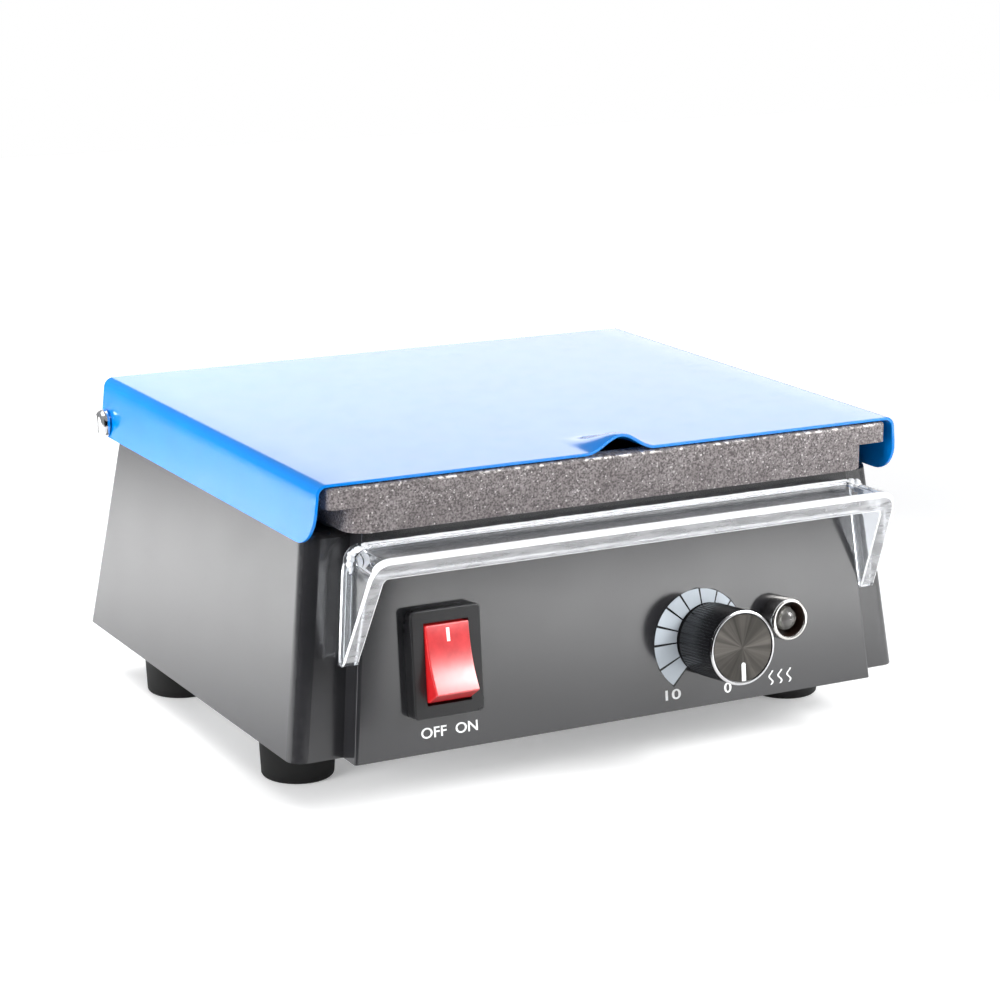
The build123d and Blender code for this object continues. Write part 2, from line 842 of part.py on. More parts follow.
# ---- heater stack, cut-out and sensor ----
def cutout_screw_places():
    return [(cutout_x, side * cutout_ear_spacing / 2) for side in (-1, 1)]


def stack_plate(top_z, thickness):
    """One flat layer of the stack under the tank, with the stud holes in it."""
    plate = rounded_block(
        -heater_half_width,
        heater_half_width,
        -heater_half_depth,
        heater_half_depth,
        top_z - thickness,
        top_z,
        3.0,
    )
    for x, y in corner_pairs(stud_x, -stud_y, stud_y):
        plate -= Pos(x, y, 0) * rod(stud_radius + screw_slack, top_z - thickness - 1, top_z + 1)
    return plate


def make_heater_element():
    plate = stack_plate(tank_underside_z, heater_thickness)
    middle = tank_underside_z - heater_thickness / 2
    tab_end = -heater_half_depth - 6
    for x in (-8, 8):
        plate += block(x - 2.4, x + 2.4, tab_end, -heater_half_depth + 1, middle - 0.4, middle + 0.4)
    return plate


def make_heater_pad():
    return stack_plate(tank_underside_z - heater_thickness, pad_thickness)


def make_heater_clamp_plate():
    return stack_plate(tank_underside_z - heater_thickness - pad_thickness, clamp_thickness)


def make_heater_studs():
    top = tank_underside_z + stud_depth
    stud = rod(stud_radius, top - stud_length, top)
    return group([Pos(x, y, 0) * stud for x, y in corner_pairs(stud_x, -stud_y, stud_y)])


def make_heater_nuts():
    top = tank_underside_z - heater_thickness - pad_thickness - clamp_thickness
    piece = Pos(0, 0, top - m4_nut_height) * nut(m4_nut_flats, m4_nut_height, stud_radius + screw_fit)
    return group([Pos(x, y, 0) * piece for x, y in corner_pairs(stud_x, -stud_y, stud_y)])


def make_thermal_cutout():
    """Round bimetal cut-out with two screw ears and two blades."""
    ear_y = cutout_ear_spacing / 2
    body = rod(cutout_radius, tank_underside_z - cutout_height, tank_underside_z)
    ears = block(-cutout_ear, cutout_ear, -ear_y, ear_y, -cutout_ear_thickness, 0)
    ears += [Pos(0, side * ear_y, 0) * rod(cutout_ear, -cutout_ear_thickness, 0) for side in (-1, 1)]
    body += Pos(0, 0, tank_underside_z) * ears
    for side in (-1, 1):
        hole = rod(screw_radius + screw_slack, tank_underside_z - 2, tank_underside_z + 1)
        body -= Pos(0, side * ear_y, 0) * hole
        low = tank_underside_z - cutout_height
        body += block(-3.1, 3.1, side * 4 - 0.4, side * 4 + 0.4, low - 7, low + 1)
    return Pos(cutout_x, 0, 0) * body


def tank_side_screw(grip):
    """Short screw up into the tank's underside, through a sheet of the given thickness."""
    length = stud_depth - 0.4 + grip
    screw = pan_screw(screw_radius, length, screw_head_radius, 1.6)
    return Pos(0, 0, tank_underside_z - grip) * screw


def make_cutout_screws():
    screw = tank_side_screw(cutout_ear_thickness)
    return group([Pos(x, y, 0) * screw for x, y in cutout_screw_places()])


def make_temperature_sensor():
    low = tank_underside_z - sensor_sheet
    lug = rod(3.4, low, tank_underside_z)
    lug += block(-2.4, 2.4, -9, 0, low, tank_underside_z)
    bead = Pos(0, -6, tank_underside_z - 2.6) * along_y(rod(2.0, -11, 0))
    lug = lug + bead - rod(screw_radius + screw_slack, 0, tank_underside_z + 1)
    return Pos(sensor_x, sensor_y, 0) * lug


def make_sensor_screw():
    return Pos(sensor_x, sensor_y, 0) * tank_side_screw(sensor_sheet)


# ---- rocker switch ----
def make_switch_frame():
    bezel = rounded_block(
        -bezel_width / 2,
        bezel_width / 2,
        -bezel_height / 2,
        bezel_height / 2,
        0,
        bezel_proud,
        bezel_corner,
    )
    bezel = fillet(bezel.edges().group_by(Axis.Z)[-1], 0.4)
    half_width = switch_body_width / 2
    half_height = switch_body_height / 2
    body = bezel + block(-half_width, half_width, -half_height, half_height, -switch_body_depth, 0.5)
    pocket_floor = bezel_proud - pocket_depth
    body -= block(
        -window_width / 2,
        window_width / 2,
        -window_height / 2,
        window_height / 2,
        pocket_floor,
        bezel_proud + 1,
    )
    reach = window_width / 2 + rocker_pin_length
    bearing = along_x(rod(rocker_pin_radius + shaft_running, -reach, reach))
    body -= Pos(0, 0, rocker_pivot_d) * bearing
    for s in blade_places():
        body -= block(
            -blade_width / 2,
            blade_width / 2,
            s - blade_thickness / 2,
            s + blade_thickness / 2,
            -switch_body_depth - 1,
            pocket_floor - 2,
        )
    return on_panel(switch_x, switch_s, body)


def blade_places():
    """Heights of the switch's three blades about its centre."""
    return (-blade_pitch, 0.0, blade_pitch)


def make_switch_rocker():
    """Hollow-faced rocker on two side pins, drawn level and then tilted to ON."""
    half = rocker_length / 2
    dip = rocker_hollow_radius - math.sqrt(rocker_hollow_radius**2 - half**2)
    foot = rocker_foot_length / 2
    face = ThreePointArc(
        (half, rocker_end_height), (0, rocker_end_height - dip), (-half, rocker_end_height)
    )
    heel = foot - rocker_foot_bevel
    sides = Polyline(
        (-half, rocker_end_height),
        (-foot, 0),
        (-heel, -rocker_foot_depth),
        (heel, -rocker_foot_depth),
        (foot, 0),
        (half, rocker_end_height),
    )
    # sketch axes: x up the slope, y out of the panel
    outline = make_face(face + sides)
    upright = Plane(origin=(0, 0, 0), x_dir=(0, 1, 0), z_dir=(1, 0, 0))
    width = window_width - 2 * rocker_play
    rocker = Pos(-width / 2, 0, 0) * extrude(upright.location * outline, width)
    reach = window_width / 2 + rocker_pin_length - 0.15
    rocker += along_x(rod(rocker_pin_radius, -reach, reach))
    tilted = Rot(-rocker_angle, 0, 0) * rocker
    return on_panel(switch_x, switch_s, Pos(0, 0, rocker_pivot_d) * tilted)


def make_switch_terminals():
    start = bezel_proud - pocket_depth - 2
    end = -switch_body_depth - blade_length
    blades = []
    for s in blade_places():
        low, high = s - blade_thickness / 2, s + blade_thickness / 2
        blade = block(-blade_width / 2, blade_width / 2, low, high, end, start)
        hole = Pos(0, 0, end + 2.4) * Rot(90, 0, 0) * Cylinder(0.8, 20)
        blades.append(on_panel(switch_x, switch_s, blade - hole))
    return group(blades)


# ---- potentiometer and knob ----
def on_knob(shape):
    return on_panel(knob_x, knob_s, shape)


def make_pot_body():
    back = -panel_wall - pot_depth
    body = rod(pot_radius, back, -panel_wall) + rod(bushing_radius, -panel_wall, bushing_length)
    body -= rod(shaft_radius + shaft_running, back + 4, bushing_length + 1)
    for step in (-1, 0, 1):
        leg = block(-0.8, 0.8, pot_radius - 2, pot_radius + 5, back + 3, back + 3.8)
        body += Pos(step * 5, 0, 0) * leg
    return on_knob(body)


def make_pot_shaft():
    start = -panel_wall - pot_depth + 4.2
    return on_knob(rod(shaft_radius, start, shaft_length))


def make_pot_washer():
    ring = rod(5.6, 0, plain_washer) - rod(bushing_radius + screw_fit, 0, plain_washer)
    return on_knob(ring)


def make_pot_nut():
    piece = nut(nut_flats, nut_height, bushing_radius + screw_fit)
    return on_knob(Pos(0, 0, plain_washer) * piece)


def make_knob_barrel():
    front = knob_gap + knob_length
    barrel = rod(knob_radius, knob_gap, front)
    barrel = chamfer(barrel.edges().group_by(Axis.Z)[-1], 0.35)
    barrel -= rod(knob_skirt_radius, 0, knob_gap + knob_skirt_depth)
    barrel -= rod(knob_face_radius, front - knob_face_thickness, front + 1)
    barrel -= rod(shaft_radius, 0, shaft_length)
    hole = Pos(0, 0, set_screw_d()) * Rot(90, 0, 0) * rod(screw_radius, shaft_radius, knob_radius + 1)
    return on_knob(barrel - hole)


def set_screw_d():
    """Distance of the set screw from the panel's face."""
    return knob_gap + knob_skirt_depth + screw_radius + 0.7


def make_knob_set_screw():
    screw = rod(screw_radius, shaft_radius, knob_radius - 1.0)
    screw -= hexagon(1.5, knob_radius - 2.4, knob_radius)
    return on_knob(Pos(0, 0, set_screw_d()) * Rot(90, 0, 0) * screw)


def make_knob_face():
    front = knob_gap + knob_length
    disc = rod(knob_face_radius, front - knob_face_thickness, front)
    return on_knob(disc - pointer_bar())


def pointer_bar():
    """Bar of the pointer line, let into the knob's front at six o'clock."""
    outer = -knob_face_radius + 0.15
    half = knob_pointer_width / 2
    front = knob_gap + knob_length
    return block(-half, half, outer, outer + knob_pointer_length, front - knob_pointer_depth, front)


def make_knob_pointer():
    return on_knob(pointer_bar())


# ---- indicator lamp ----
def on_lamp(shape):
    return on_panel(lamp_x, lamp_s, shape)


def make_lamp_bezel():
    tube = rod(lamp_radius, 0, lamp_proud) + rod(lamp_thread_radius, -lamp_length, 0)
    tube = fillet(tube.edges().group_by(Axis.Z)[-1], 0.35)
    tube -= rod(lamp_bore, 0, lamp_proud + 1)
    return on_lamp(tube - rod(led_radius + screw_fit, -lamp_length - 1, 1))


def make_lamp_led():
    led = rod(led_radius, -lamp_length + 1, led_dome_start)
    led += Pos(0, 0, led_dome_start) * Sphere(led_radius)
    for side in (-1, 1):
        led += Pos(side * led_lead_x, 0, 0) * rod(0.35, -lamp_length - 6, -lamp_length + 1.5)
    return on_lamp(led)


def make_lamp_nut():
    top = -panel_wall
    piece = nut(nut_flats, nut_height, lamp_thread_radius + screw_fit)
    return on_lamp(Pos(0, 0, top - nut_height) * piece)


# ---- control board ----
def board_hole_places():
    x = board_width / 2 - standoff_inset
    y = board_depth / 2 - standoff_inset
    return [(board_x + dx, board_y + dy) for dx, dy in corner_pairs(x, -y, y)]


def make_control_board():
    board = rounded_block(
        board_x - board_width / 2,
        board_x + board_width / 2,
        board_y - board_depth / 2,
        board_y + board_depth / 2,
        board_top_z - board_thickness,
        board_top_z,
        1.5,
    )
    for x, y in board_hole_places():
        board -= Pos(x, y, 0) * rod(screw_radius + screw_slack, 0, board_top_z + 1)
    return board


def make_board_standoffs():
    post = hexagon(2 * standoff_radius, base_top_z, base_top_z + standoff_height)
    post -= rod(screw_radius + screw_fit, base_top_z, base_top_z + standoff_height)
    return group([Pos(x, y, 0) * post for x, y in board_hole_places()])


def make_board_screws():
    grip = 2.6
    upper = pan_screw(screw_radius, board_thickness + grip, screw_head_radius, 1.7)
    upper = Pos(0, 0, board_top_z) * Rot(180, 0, 0) * upper
    lower = pan_screw(screw_radius, base_thickness + grip, screw_head_radius, 1.7)
    lower = Pos(0, 0, housing_bottom_z) * lower
    return group([Pos(x, y, 0) * piece for x, y in board_hole_places() for piece in (upper, lower)])


def on_board(x, y, shape):
    """Place a component, drawn standing on z = 0, at a spot counted from the board's middle."""
    return Pos(board_x + x, board_y + y, board_top_z) * shape


def make_relay():
    half_width, half_depth = relay_half_width, relay_half_depth
    case = rounded_block(-half_width, half_width, -half_depth, half_depth, 0, relay_height, 0.6)
    return on_board(*relay_place, fillet(case.edges().group_by(Axis.Z)[-1], 0.5))


def make_film_capacitor():
    half_width, half_depth = film_half_width, film_half_depth
    case = rounded_block(-half_width, half_width, -half_depth, half_depth, 0, film_height, 0.8)
    return on_board(*film_place, case)


def make_can_capacitor():
    can = rod(can_radius, 0, can_height)
    can = fillet(can.edges().group_by(Axis.Z)[-1], 0.5)
    # the crossed vent score on its top
    top = Pos(0, 0, can_height)
    can -= top * Box(1.5 * can_radius, 0.4, 0.6) + top * Box(0.4, 1.5 * can_radius, 0.6)
    return on_board(*can_place, can)


def make_terminal_block():
    half_depth = terminal_ways * terminal_pitch / 2
    case = block(-terminal_half_width, terminal_half_width, -half_depth, half_depth, 0, terminal_height)
    for step in range(terminal_ways):
        y = (step + 0.5) * terminal_pitch - half_depth
        case -= Pos(0.8, y, 0) * rod(1.7, terminal_height - 3.9, terminal_height + 1)
        case -= Pos(0, y, 3.0) * along_x(rod(1.5, 0.5, terminal_half_width + 1))
    return on_board(*terminal_place, case)


def make_fuse():
    glass_end = fuse_glass_half_length
    glass = along_x(rod(fuse_glass_radius, -glass_end, glass_end))
    end = glass_end + fuse_cap_length
    caps = [along_x(rod(fuse_cap_radius, *sorted((side * glass_end, side * end)))) for side in (-1, 1)]
    return on_board(*fuse_place, Pos(0, 0, fuse_rise) * (glass + caps))


def make_fuse_clips():
    clips = []
    for side in (-1, 1):
        x = side * (fuse_glass_half_length + fuse_cap_length / 2)
        clip = block(x - clip_half_width, x + clip_half_width, -3.1, 3.1, 0, fuse_rise + 1.2)
        clip -= Pos(0, 0, fuse_rise) * along_x(rod(fuse_cap_radius, x - 2, x + 2))
        clip -= block(x - 2, x + 2, -2.0, 2.0, fuse_rise, fuse_rise + 2)
        clips.append(on_board(*fuse_place, clip))
    return group(clips)


def make_board_components():
    """Comparator chip, driver transistor, trimmer and three resistors."""
    chip = on_board(6, -6, block(-4.8, 4.8, -3.2, 3.2, 0, 3.4))
    driver = on_board(7, 4, block(-2.3, 2.3, -1.8, 1.8, 0, 5))
    trimmer = on_board(6, 9.5, block(-3.2, 3.2, -2.4, 2.4, 0, 4) - rod(1.2, 3, 5))
    resistor = Pos(0, 0, 1.2) * along_x(rod(1.2, -3.2, 3.2))
    resistors = [on_board(6, y, resistor) for y in (-0.5, 14.6, 17.8)]
    return group([chip, driver, trimmer, *resistors])


# ---- mains inlet and earth ----
def make_inlet_body():
    flange = rounded_block(
        -inlet_flange_width / 2,
        inlet_flange_width / 2,
        -inlet_flange_height / 2,
        inlet_flange_height / 2,
        0,
        inlet_flange,
        4.0,
    )
    flange = fillet(flange.edges().group_by(Axis.Z)[-1], 0.6)
    body = flange + block(
        -inlet_width / 2, inlet_width / 2, -inlet_height / 2, inlet_height / 2, -inlet_depth, 0.5
    )
    socket = block(
        -inlet_socket_width / 2,
        inlet_socket_width / 2,
        -inlet_socket_height / 2,
        inlet_socket_height / 2,
        inlet_flange - inlet_socket_depth,
        inlet_flange + 1,
    )
    upper = socket.edges().filter_by(Axis.Z).group_by(Axis.Y)[-1]
    body -= chamfer(upper, 4.0)
    for side in (-1, 1):
        hole = rod(screw_radius + screw_slack, -1, inlet_flange + 1)
        body -= Pos(side * inlet_screw_spacing / 2, 0, 0) * hole
    for x, y in inlet_pin_places():
        body -= Pos(x, y, 0) * inlet_blade(-inlet_depth - 1, inlet_flange - inlet_socket_depth + 1)
    return on_rear(inlet_x, inlet_s, body)


def inlet_blade(start, end):
    """Flat blade of one pin between two depths."""
    return block(-pin_half_width, pin_half_width, -pin_half_height, pin_half_height, start, end)


def inlet_pin_places():
    """Two line pins and the earth pin above them."""
    return [(-7.0, -2.0), (7.0, -2.0), (0.0, 2.0)]


def make_inlet_pins():
    pin = inlet_blade(-inlet_depth - 5, inlet_flange - 2.5)
    places = inlet_pin_places()
    return group([on_rear(inlet_x, inlet_s, Pos(x, y, 0) * pin) for x, y in places])


def make_inlet_screws():
    length = inlet_flange + housing_wall + 4.0
    screw = Rot(180, 0, 0) * pan_screw(screw_radius, length, screw_head_radius, 1.7)
    places = [inlet_x + side * inlet_screw_spacing / 2 for side in (-1, 1)]
    return group([on_rear(x, inlet_s, Pos(0, 0, inlet_flange) * screw) for x in places])


def make_inlet_nuts():
    piece = Pos(0, 0, -housing_wall - 2.4) * nut(5.5, 2.4, screw_radius + screw_fit)
    places = [inlet_x + side * inlet_screw_spacing / 2 for side in (-1, 1)]
    return group([on_rear(x, inlet_s, piece) for x in places])


def make_earth_stud():
    stud = rod(stud_radius, housing_bottom_z, base_top_z + 11)
    stud += rod(3.8, housing_bottom_z - 1.4, housing_bottom_z)
    return Pos(earth_x, earth_y, 0) * stud


def make_earth_lug():
    top_z = base_top_z + earth_lug_sheet
    lug = rod(4.2, base_top_z, top_z)
    lug += block(-9, 0, -2.2, 2.2, base_top_z, top_z)
    lug += Pos(-9, 0, base_top_z + 1.6) * along_x(rod(1.6, -6, 1))
    return Pos(earth_x, earth_y, 0) * (lug - rod(stud_radius + screw_fit, 0, top_z + 1))


def make_earth_nut():
    piece = nut(m4_nut_flats, m4_nut_height, stud_radius + screw_fit)
    return Pos(earth_x, earth_y, base_top_z + earth_lug_sheet) * piece


MAKERS = {
    "housing": make_housing,
    "base_plate": make_base_plate,
    "base_screws": make_base_screws,
    "feet": make_feet,
    "foot_screws": make_foot_screws,
    "foot_nuts": make_foot_nuts,
    "front_panel": make_front_panel,
    "panel_screws": make_panel_screws,
    "splash_guard": make_splash_guard,
    "wax_tank": make_wax_tank,
    "tank_gasket": make_tank_gasket,
    "tank_screws": make_tank_screws,
    "lid": make_lid,
    "lid_pivot_screws": make_lid_pivot_screws,
    "lid_pivot_washers": make_lid_pivot_washers,
    "heater_element": make_heater_element,
    "heater_pad": make_heater_pad,
    "heater_clamp_plate": make_heater_clamp_plate,
    "heater_studs": make_heater_studs,
    "heater_nuts": make_heater_nuts,
    "thermal_cutout": make_thermal_cutout,
    "cutout_screws": make_cutout_screws,
    "temperature_sensor": make_temperature_sensor,
    "sensor_screw": make_sensor_screw,
    "switch_frame": make_switch_frame,
    "switch_rocker": make_switch_rocker,
    "switch_terminals": make_switch_terminals,
    "pot_body": make_pot_body,
    "pot_shaft": make_pot_shaft,
    "pot_washer": make_pot_washer,
    "pot_nut": make_pot_nut,
    "knob_barrel": make_knob_barrel,
    "knob_face": make_knob_face,
    "knob_pointer": make_knob_pointer,
    "knob_set_screw": make_knob_set_screw,
    "lamp_bezel": make_lamp_bezel,
    "lamp_led": make_lamp_led,
    "lamp_nut": make_lamp_nut,
    "control_board": make_control_board,
    "board_standoffs": make_board_standoffs,
    "board_screws": make_board_screws,
    "relay": make_relay,
    "film_capacitor": make_film_capacitor,
    "can_capacitor": make_can_capacitor,
    "terminal_block": make_terminal_block,
    "fuse": make_fuse,
    "fuse_clips": make_fuse_clips,
    "board_components": make_board_components,
    "inlet_body": make_inlet_body,
    "inlet_pins": make_inlet_pins,
    "inlet_screws": make_inlet_screws,
    "inlet_nuts": make_inlet_nuts,
    "earth_stud": make_earth_stud,
    "earth_lug": make_earth_lug,
    "earth_nut": make_earth_nut,
}

os.makedirs("parts", exist_ok=True)
pieces = {name: make() for name, make in MAKERS.items()}

# The origin moves under the middle of the whole object's box, front to rear.
boxes = [piece.bounding_box() for piece in pieces.values()]
front = min(box.min.Y for box in boxes)
rear = max(box.max.Y for box in boxes)
origin_y = (front + rear) / 2
for name, piece in pieces.items():
    export_step(Pos(0, -origin_y, 0) * piece, f"parts/{name}.step")


def report(label, point, axis):
    """Print a joint's or mount's place in the finished frame."""
    place = [round(value, 3) for value in (point.X, point.Y - origin_y, point.Z)]
    print(label, "at", place, "axis", [round(value, 6) for value in (axis.X, axis.Y, axis.Z)])


report("lid hinge", Vector(0, pivot_y, pivot_z), Vector(-1, 0, 0))
knob_point = panel_frame.from_local_coords(Vector(knob_x, knob_s, 0))
report("knob", knob_point, panel_frame.z_dir)
rocker_point = panel_frame.from_local_coords(Vector(switch_x, switch_s, rocker_pivot_d))
report("rocker", rocker_point, Vector(1, 0, 0))
inlet_point = rear_frame.from_local_coords(Vector(-inlet_x, inlet_s, inlet_flange))
report("inlet", inlet_point, rear_frame.z_dir)
print("lid opens to", round(lid_open_angle(), 2), "degrees; rocker swings", 2 * rocker_angle)
print("origin_y", round(origin_y, 4))
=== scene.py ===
import bpy
import bmesh
import math
import random
from mathutils import Matrix, Vector


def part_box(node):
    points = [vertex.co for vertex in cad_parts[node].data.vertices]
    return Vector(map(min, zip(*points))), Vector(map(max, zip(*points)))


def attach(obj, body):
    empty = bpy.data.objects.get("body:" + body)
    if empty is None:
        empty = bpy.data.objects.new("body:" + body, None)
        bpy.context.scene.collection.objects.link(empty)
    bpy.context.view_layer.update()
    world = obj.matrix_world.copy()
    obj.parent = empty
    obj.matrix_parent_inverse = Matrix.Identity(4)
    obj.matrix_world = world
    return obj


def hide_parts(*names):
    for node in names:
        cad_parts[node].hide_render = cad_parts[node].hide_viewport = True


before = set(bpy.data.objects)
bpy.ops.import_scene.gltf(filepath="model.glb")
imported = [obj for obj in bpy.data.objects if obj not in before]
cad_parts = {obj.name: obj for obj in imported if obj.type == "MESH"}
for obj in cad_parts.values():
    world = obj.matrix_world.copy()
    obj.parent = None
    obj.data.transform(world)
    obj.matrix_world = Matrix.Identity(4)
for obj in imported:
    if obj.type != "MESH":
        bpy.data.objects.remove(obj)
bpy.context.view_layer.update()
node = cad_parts
scene = bpy.context.scene
scene.view_settings.view_transform = "Standard"


# ---- the studio ----
# A white sweep of paper under soft boxes, and a long lens that looks down on the front left
# corner from 60 cm away. The paper keeps the heater's shadow and melts into the white.
MM = 0.001
middle_y = (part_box("lid")[0].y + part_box("lid")[1].y) / 2 / MM

azimuth, elevation, roll = math.radians(-28.733), math.radians(14.286), math.radians(0.439)
aim = Vector((2.947, middle_y, 42.486))
aim_distance = 601.226
toward_camera = Vector((
    math.sin(azimuth) * math.cos(elevation),
    -math.cos(azimuth) * math.cos(elevation),
    math.sin(elevation),
))
level = Vector((math.cos(azimuth), math.sin(azimuth), 0))
upright = toward_camera.cross(level)
right = math.cos(roll) * level + math.sin(roll) * upright
up = -math.sin(roll) * level + math.cos(roll) * upright
eye = (aim + aim_distance * toward_camera) * MM
lens = bpy.data.cameras.new("camera")
lens.sensor_width = 36.0
lens.lens = 101.2147
lens.clip_start, lens.clip_end = 0.01, 200.0
camera = bpy.data.objects.new("camera", lens)
camera.matrix_world = Matrix((
    (right.x, up.x, toward_camera.x, eye.x),
    (right.y, up.y, toward_camera.y, eye.y),
    (right.z, up.z, toward_camera.z, eye.z),
    (0, 0, 0, 1),
))
scene.collection.objects.link(camera)
scene.camera = camera


def backdrop_rays(nodes, links):
    """One for a look at the backdrop, straight or through clear plastic, and zero for light."""
    ray = nodes.new("ShaderNodeLightPath")
    either = nodes.new("ShaderNodeMath")
    either.operation = "MAXIMUM"
    links.new(ray.outputs["Is Camera Ray"], either.inputs[0])
    links.new(ray.outputs["Is Transmission Ray"], either.inputs[1])
    return either.outputs[0]


world = bpy.data.worlds.new("white studio")
world.use_nodes = True
nodes, links = world.node_tree.nodes, world.node_tree.links
fill = nodes["Background"]
fill.inputs["Color"].default_value = (0.97, 0.98, 1.0, 1)
fill.inputs["Strength"].default_value = 0.37
white = nodes.new("ShaderNodeBackground")
white.inputs["Color"].default_value = (1, 1, 1, 1)
white.inputs["Strength"].default_value = 1.0
choice = nodes.new("ShaderNodeMixShader")
links.new(backdrop_rays(nodes, links), choice.inputs[0])
links.new(fill.outputs[0], choice.inputs[1])
links.new(white.outputs[0], choice.inputs[2])
links.new(choice.outputs[0], nodes["World Output"].inputs["Surface"])
scene.world = world


def shader(name):
    """A new node material: itself, its nodes, its links and its main shader."""
    made = bpy.data.materials.new(name)
    made.use_nodes = True
    tree = made.node_tree
    return made, tree.nodes, tree.links, tree.nodes["Principled BSDF"]


# the paper grows whiter with its distance from the heater, so its far edge doesn't show; its weaker
# glow near the heater is a painted shade round it
near_glow, far_glow, near_radius, far_radius = 0.26, 0.85, 0.20, 0.50
paper_half = 0.9
paper, nodes, links, surface = shader("studio paper")
surface.inputs["Base Color"].default_value = (0.90, 0.90, 0.90, 1)
surface.inputs["Roughness"].default_value = 0.9
surface.inputs["Specular IOR Level"].default_value = 0.0
glow = nodes.new("ShaderNodeEmission")
where = nodes.new("ShaderNodeTexCoord")
away = nodes.new("ShaderNodeVectorMath")
away.operation = "LENGTH"
whiter = nodes.new("ShaderNodeMapRange")
for socket, number in zip(whiter.inputs[1:5], (near_radius, far_radius, near_glow, far_glow)):
    socket.default_value = number
links.new(where.outputs["Object"], away.inputs[0])
links.new(away.outputs["Value"], whiter.inputs[0])
links.new(whiter.outputs[0], glow.inputs["Strength"])
dark = nodes.new("ShaderNodeEmission")
dark.inputs["Strength"].default_value = 0.0
lift = nodes.new("ShaderNodeMixShader")
total = nodes.new("ShaderNodeAddShader")
links.new(backdrop_rays(nodes, links), lift.inputs[0])
links.new(dark.outputs[0], lift.inputs[1])
links.new(glow.outputs[0], lift.inputs[2])
links.new(surface.outputs[0], total.inputs[0])
links.new(lift.outputs[0], total.inputs[1])
links.new(total.outputs[0], nodes["Material Output"].inputs["Surface"])
sweep = bmesh.new()
bmesh.ops.create_grid(sweep, x_segments=8, y_segments=8, size=paper_half)
mesh = bpy.data.meshes.new("floor")
sweep.to_mesh(mesh)
sweep.free()
mesh.materials.append(paper)
floor = bpy.data.objects.new("floor", mesh)
scene.collection.objects.link(floor)


def soft_box(name, place, aim, width, height, power, grid=180):
    """A soft rectangular lamp at a place in metres, turned to face another. A grid narrows it."""
    light = bpy.data.lights.new(name, "AREA")
    light.shape = "RECTANGLE"
    light.size, light.size_y = width, height
    light.energy = power
    light.spread = math.radians(grid)
    lamp = bpy.data.objects.new(name, light)
    lamp.location = place
    lamp.rotation_euler = (Vector(aim) - Vector(place)).to_track_quat("-Z", "Y").to_euler()
    lamp.visible_camera = False
    scene.collection.objects.link(lamp)
    return lamp


soft_box("box behind", (0.51, 0.95, 0.30), (0.0, 0.0, 0.06), width=0.66, height=0.34, power=1.5)
soft_box("box on the left", (-0.23, 0.22, 0.28), (-0.21, 0.21, 0.0),
         width=0.22, height=0.30, power=1.0, grid=90)
soft_box("box in front", (0.42, -0.44, 0.30), (0.26, -0.38, 0.0),
         width=0.36, height=0.36, power=3.0, grid=100)
soft_box("box above", (0.44, -0.56, 0.66), (0.0, -0.05, 0.03), width=0.30, height=0.86, power=2.4)
low_box = soft_box("low box on the left", (-0.52, -0.14, 0.12), (-0.07, 0.0, 0.055),
                   width=0.24, height=0.20, power=0.38, grid=60)
low_box.visible_glossy = False

# a curved black card round the front left corner, seen only in the gloss of the housing
card_radius, card_height, card_lean = 0.15, 0.20, 0.06
card_start, card_sweep, card_panes = -28.5, 126.5, 14
corner_x, corner_y = -0.065, -0.055
card_black, nodes, links, surface = shader("black card")
surface.inputs["Base Color"].default_value = (0.004, 0.004, 0.004, 1)
surface.inputs["Specular IOR Level"].default_value = 0.0
bent = bmesh.new()
feet_of_card, heads_of_card = [], []
for step in range(card_panes + 1):
    turn = math.radians(card_start + card_sweep * step / card_panes)
    x, y = corner_x - card_radius * math.sin(turn), corner_y - card_radius * math.cos(turn)
    feet_of_card.append(bent.verts.new((x, y, 0.0)))
    heads_of_card.append(bent.verts.new((x + (card_lean if step == 0 else 0), y, card_height)))
for step in range(card_panes):
    bent.faces.new((feet_of_card[step], feet_of_card[step + 1],
                    heads_of_card[step + 1], heads_of_card[step]))
mesh = bpy.data.meshes.new("card")
bent.to_mesh(mesh)
bent.free()
mesh.materials.append(card_black)
card = bpy.data.objects.new("card", mesh)
card.visible_camera = False
card.visible_diffuse = False
card.visible_transmission = False
card.visible_shadow = False
scene.collection.objects.link(card)


# ---- the housing ----
# A thick-walled dark grey plastic shell, open below, with four leaning walls and a flat roof,
# injection moulded in one piece with its screw bosses. It carries everything else.
def textured(nodes, links, scale, detail=4.0, stretch=(1, 1, 1)):
    """Noise in the object's own coordinates, its scale in features per metre."""
    where = nodes.new("ShaderNodeTexCoord")
    turn = nodes.new("ShaderNodeMapping")
    turn.inputs["Scale"].default_value = stretch
    noise = nodes.new("ShaderNodeTexNoise")
    noise.inputs["Scale"].default_value = scale
    noise.inputs["Detail"].default_value = detail
    links.new(where.outputs["Object"], turn.inputs["Vector"])
    links.new(turn.outputs["Vector"], noise.inputs["Vector"])
    return noise.outputs["Fac"]


def spread(nodes, links, value, from_low=0.3, from_high=0.7, low=0, high=1):
    """A value's range, at first that of plain noise, stretched onto another."""
    part = nodes.new("ShaderNodeMapRange")
    for socket, number in zip(part.inputs[1:5], (from_low, from_high, low, high)):
        socket.default_value = number
    links.new(value, part.inputs[0])
    return part.outputs[0]


def blended(nodes, links, factor, first, second):
    """Two colours, or coloured outputs, mixed by a factor output."""
    part = nodes.new("ShaderNodeMix")
    part.data_type = "RGBA"
    links.new(factor, part.inputs[0])
    for socket, colour in ((part.inputs[6], first), (part.inputs[7], second)):
        if isinstance(colour, tuple):
            socket.default_value = (*colour, 1)
        else:
            links.new(colour, socket)
    return part.outputs[2]


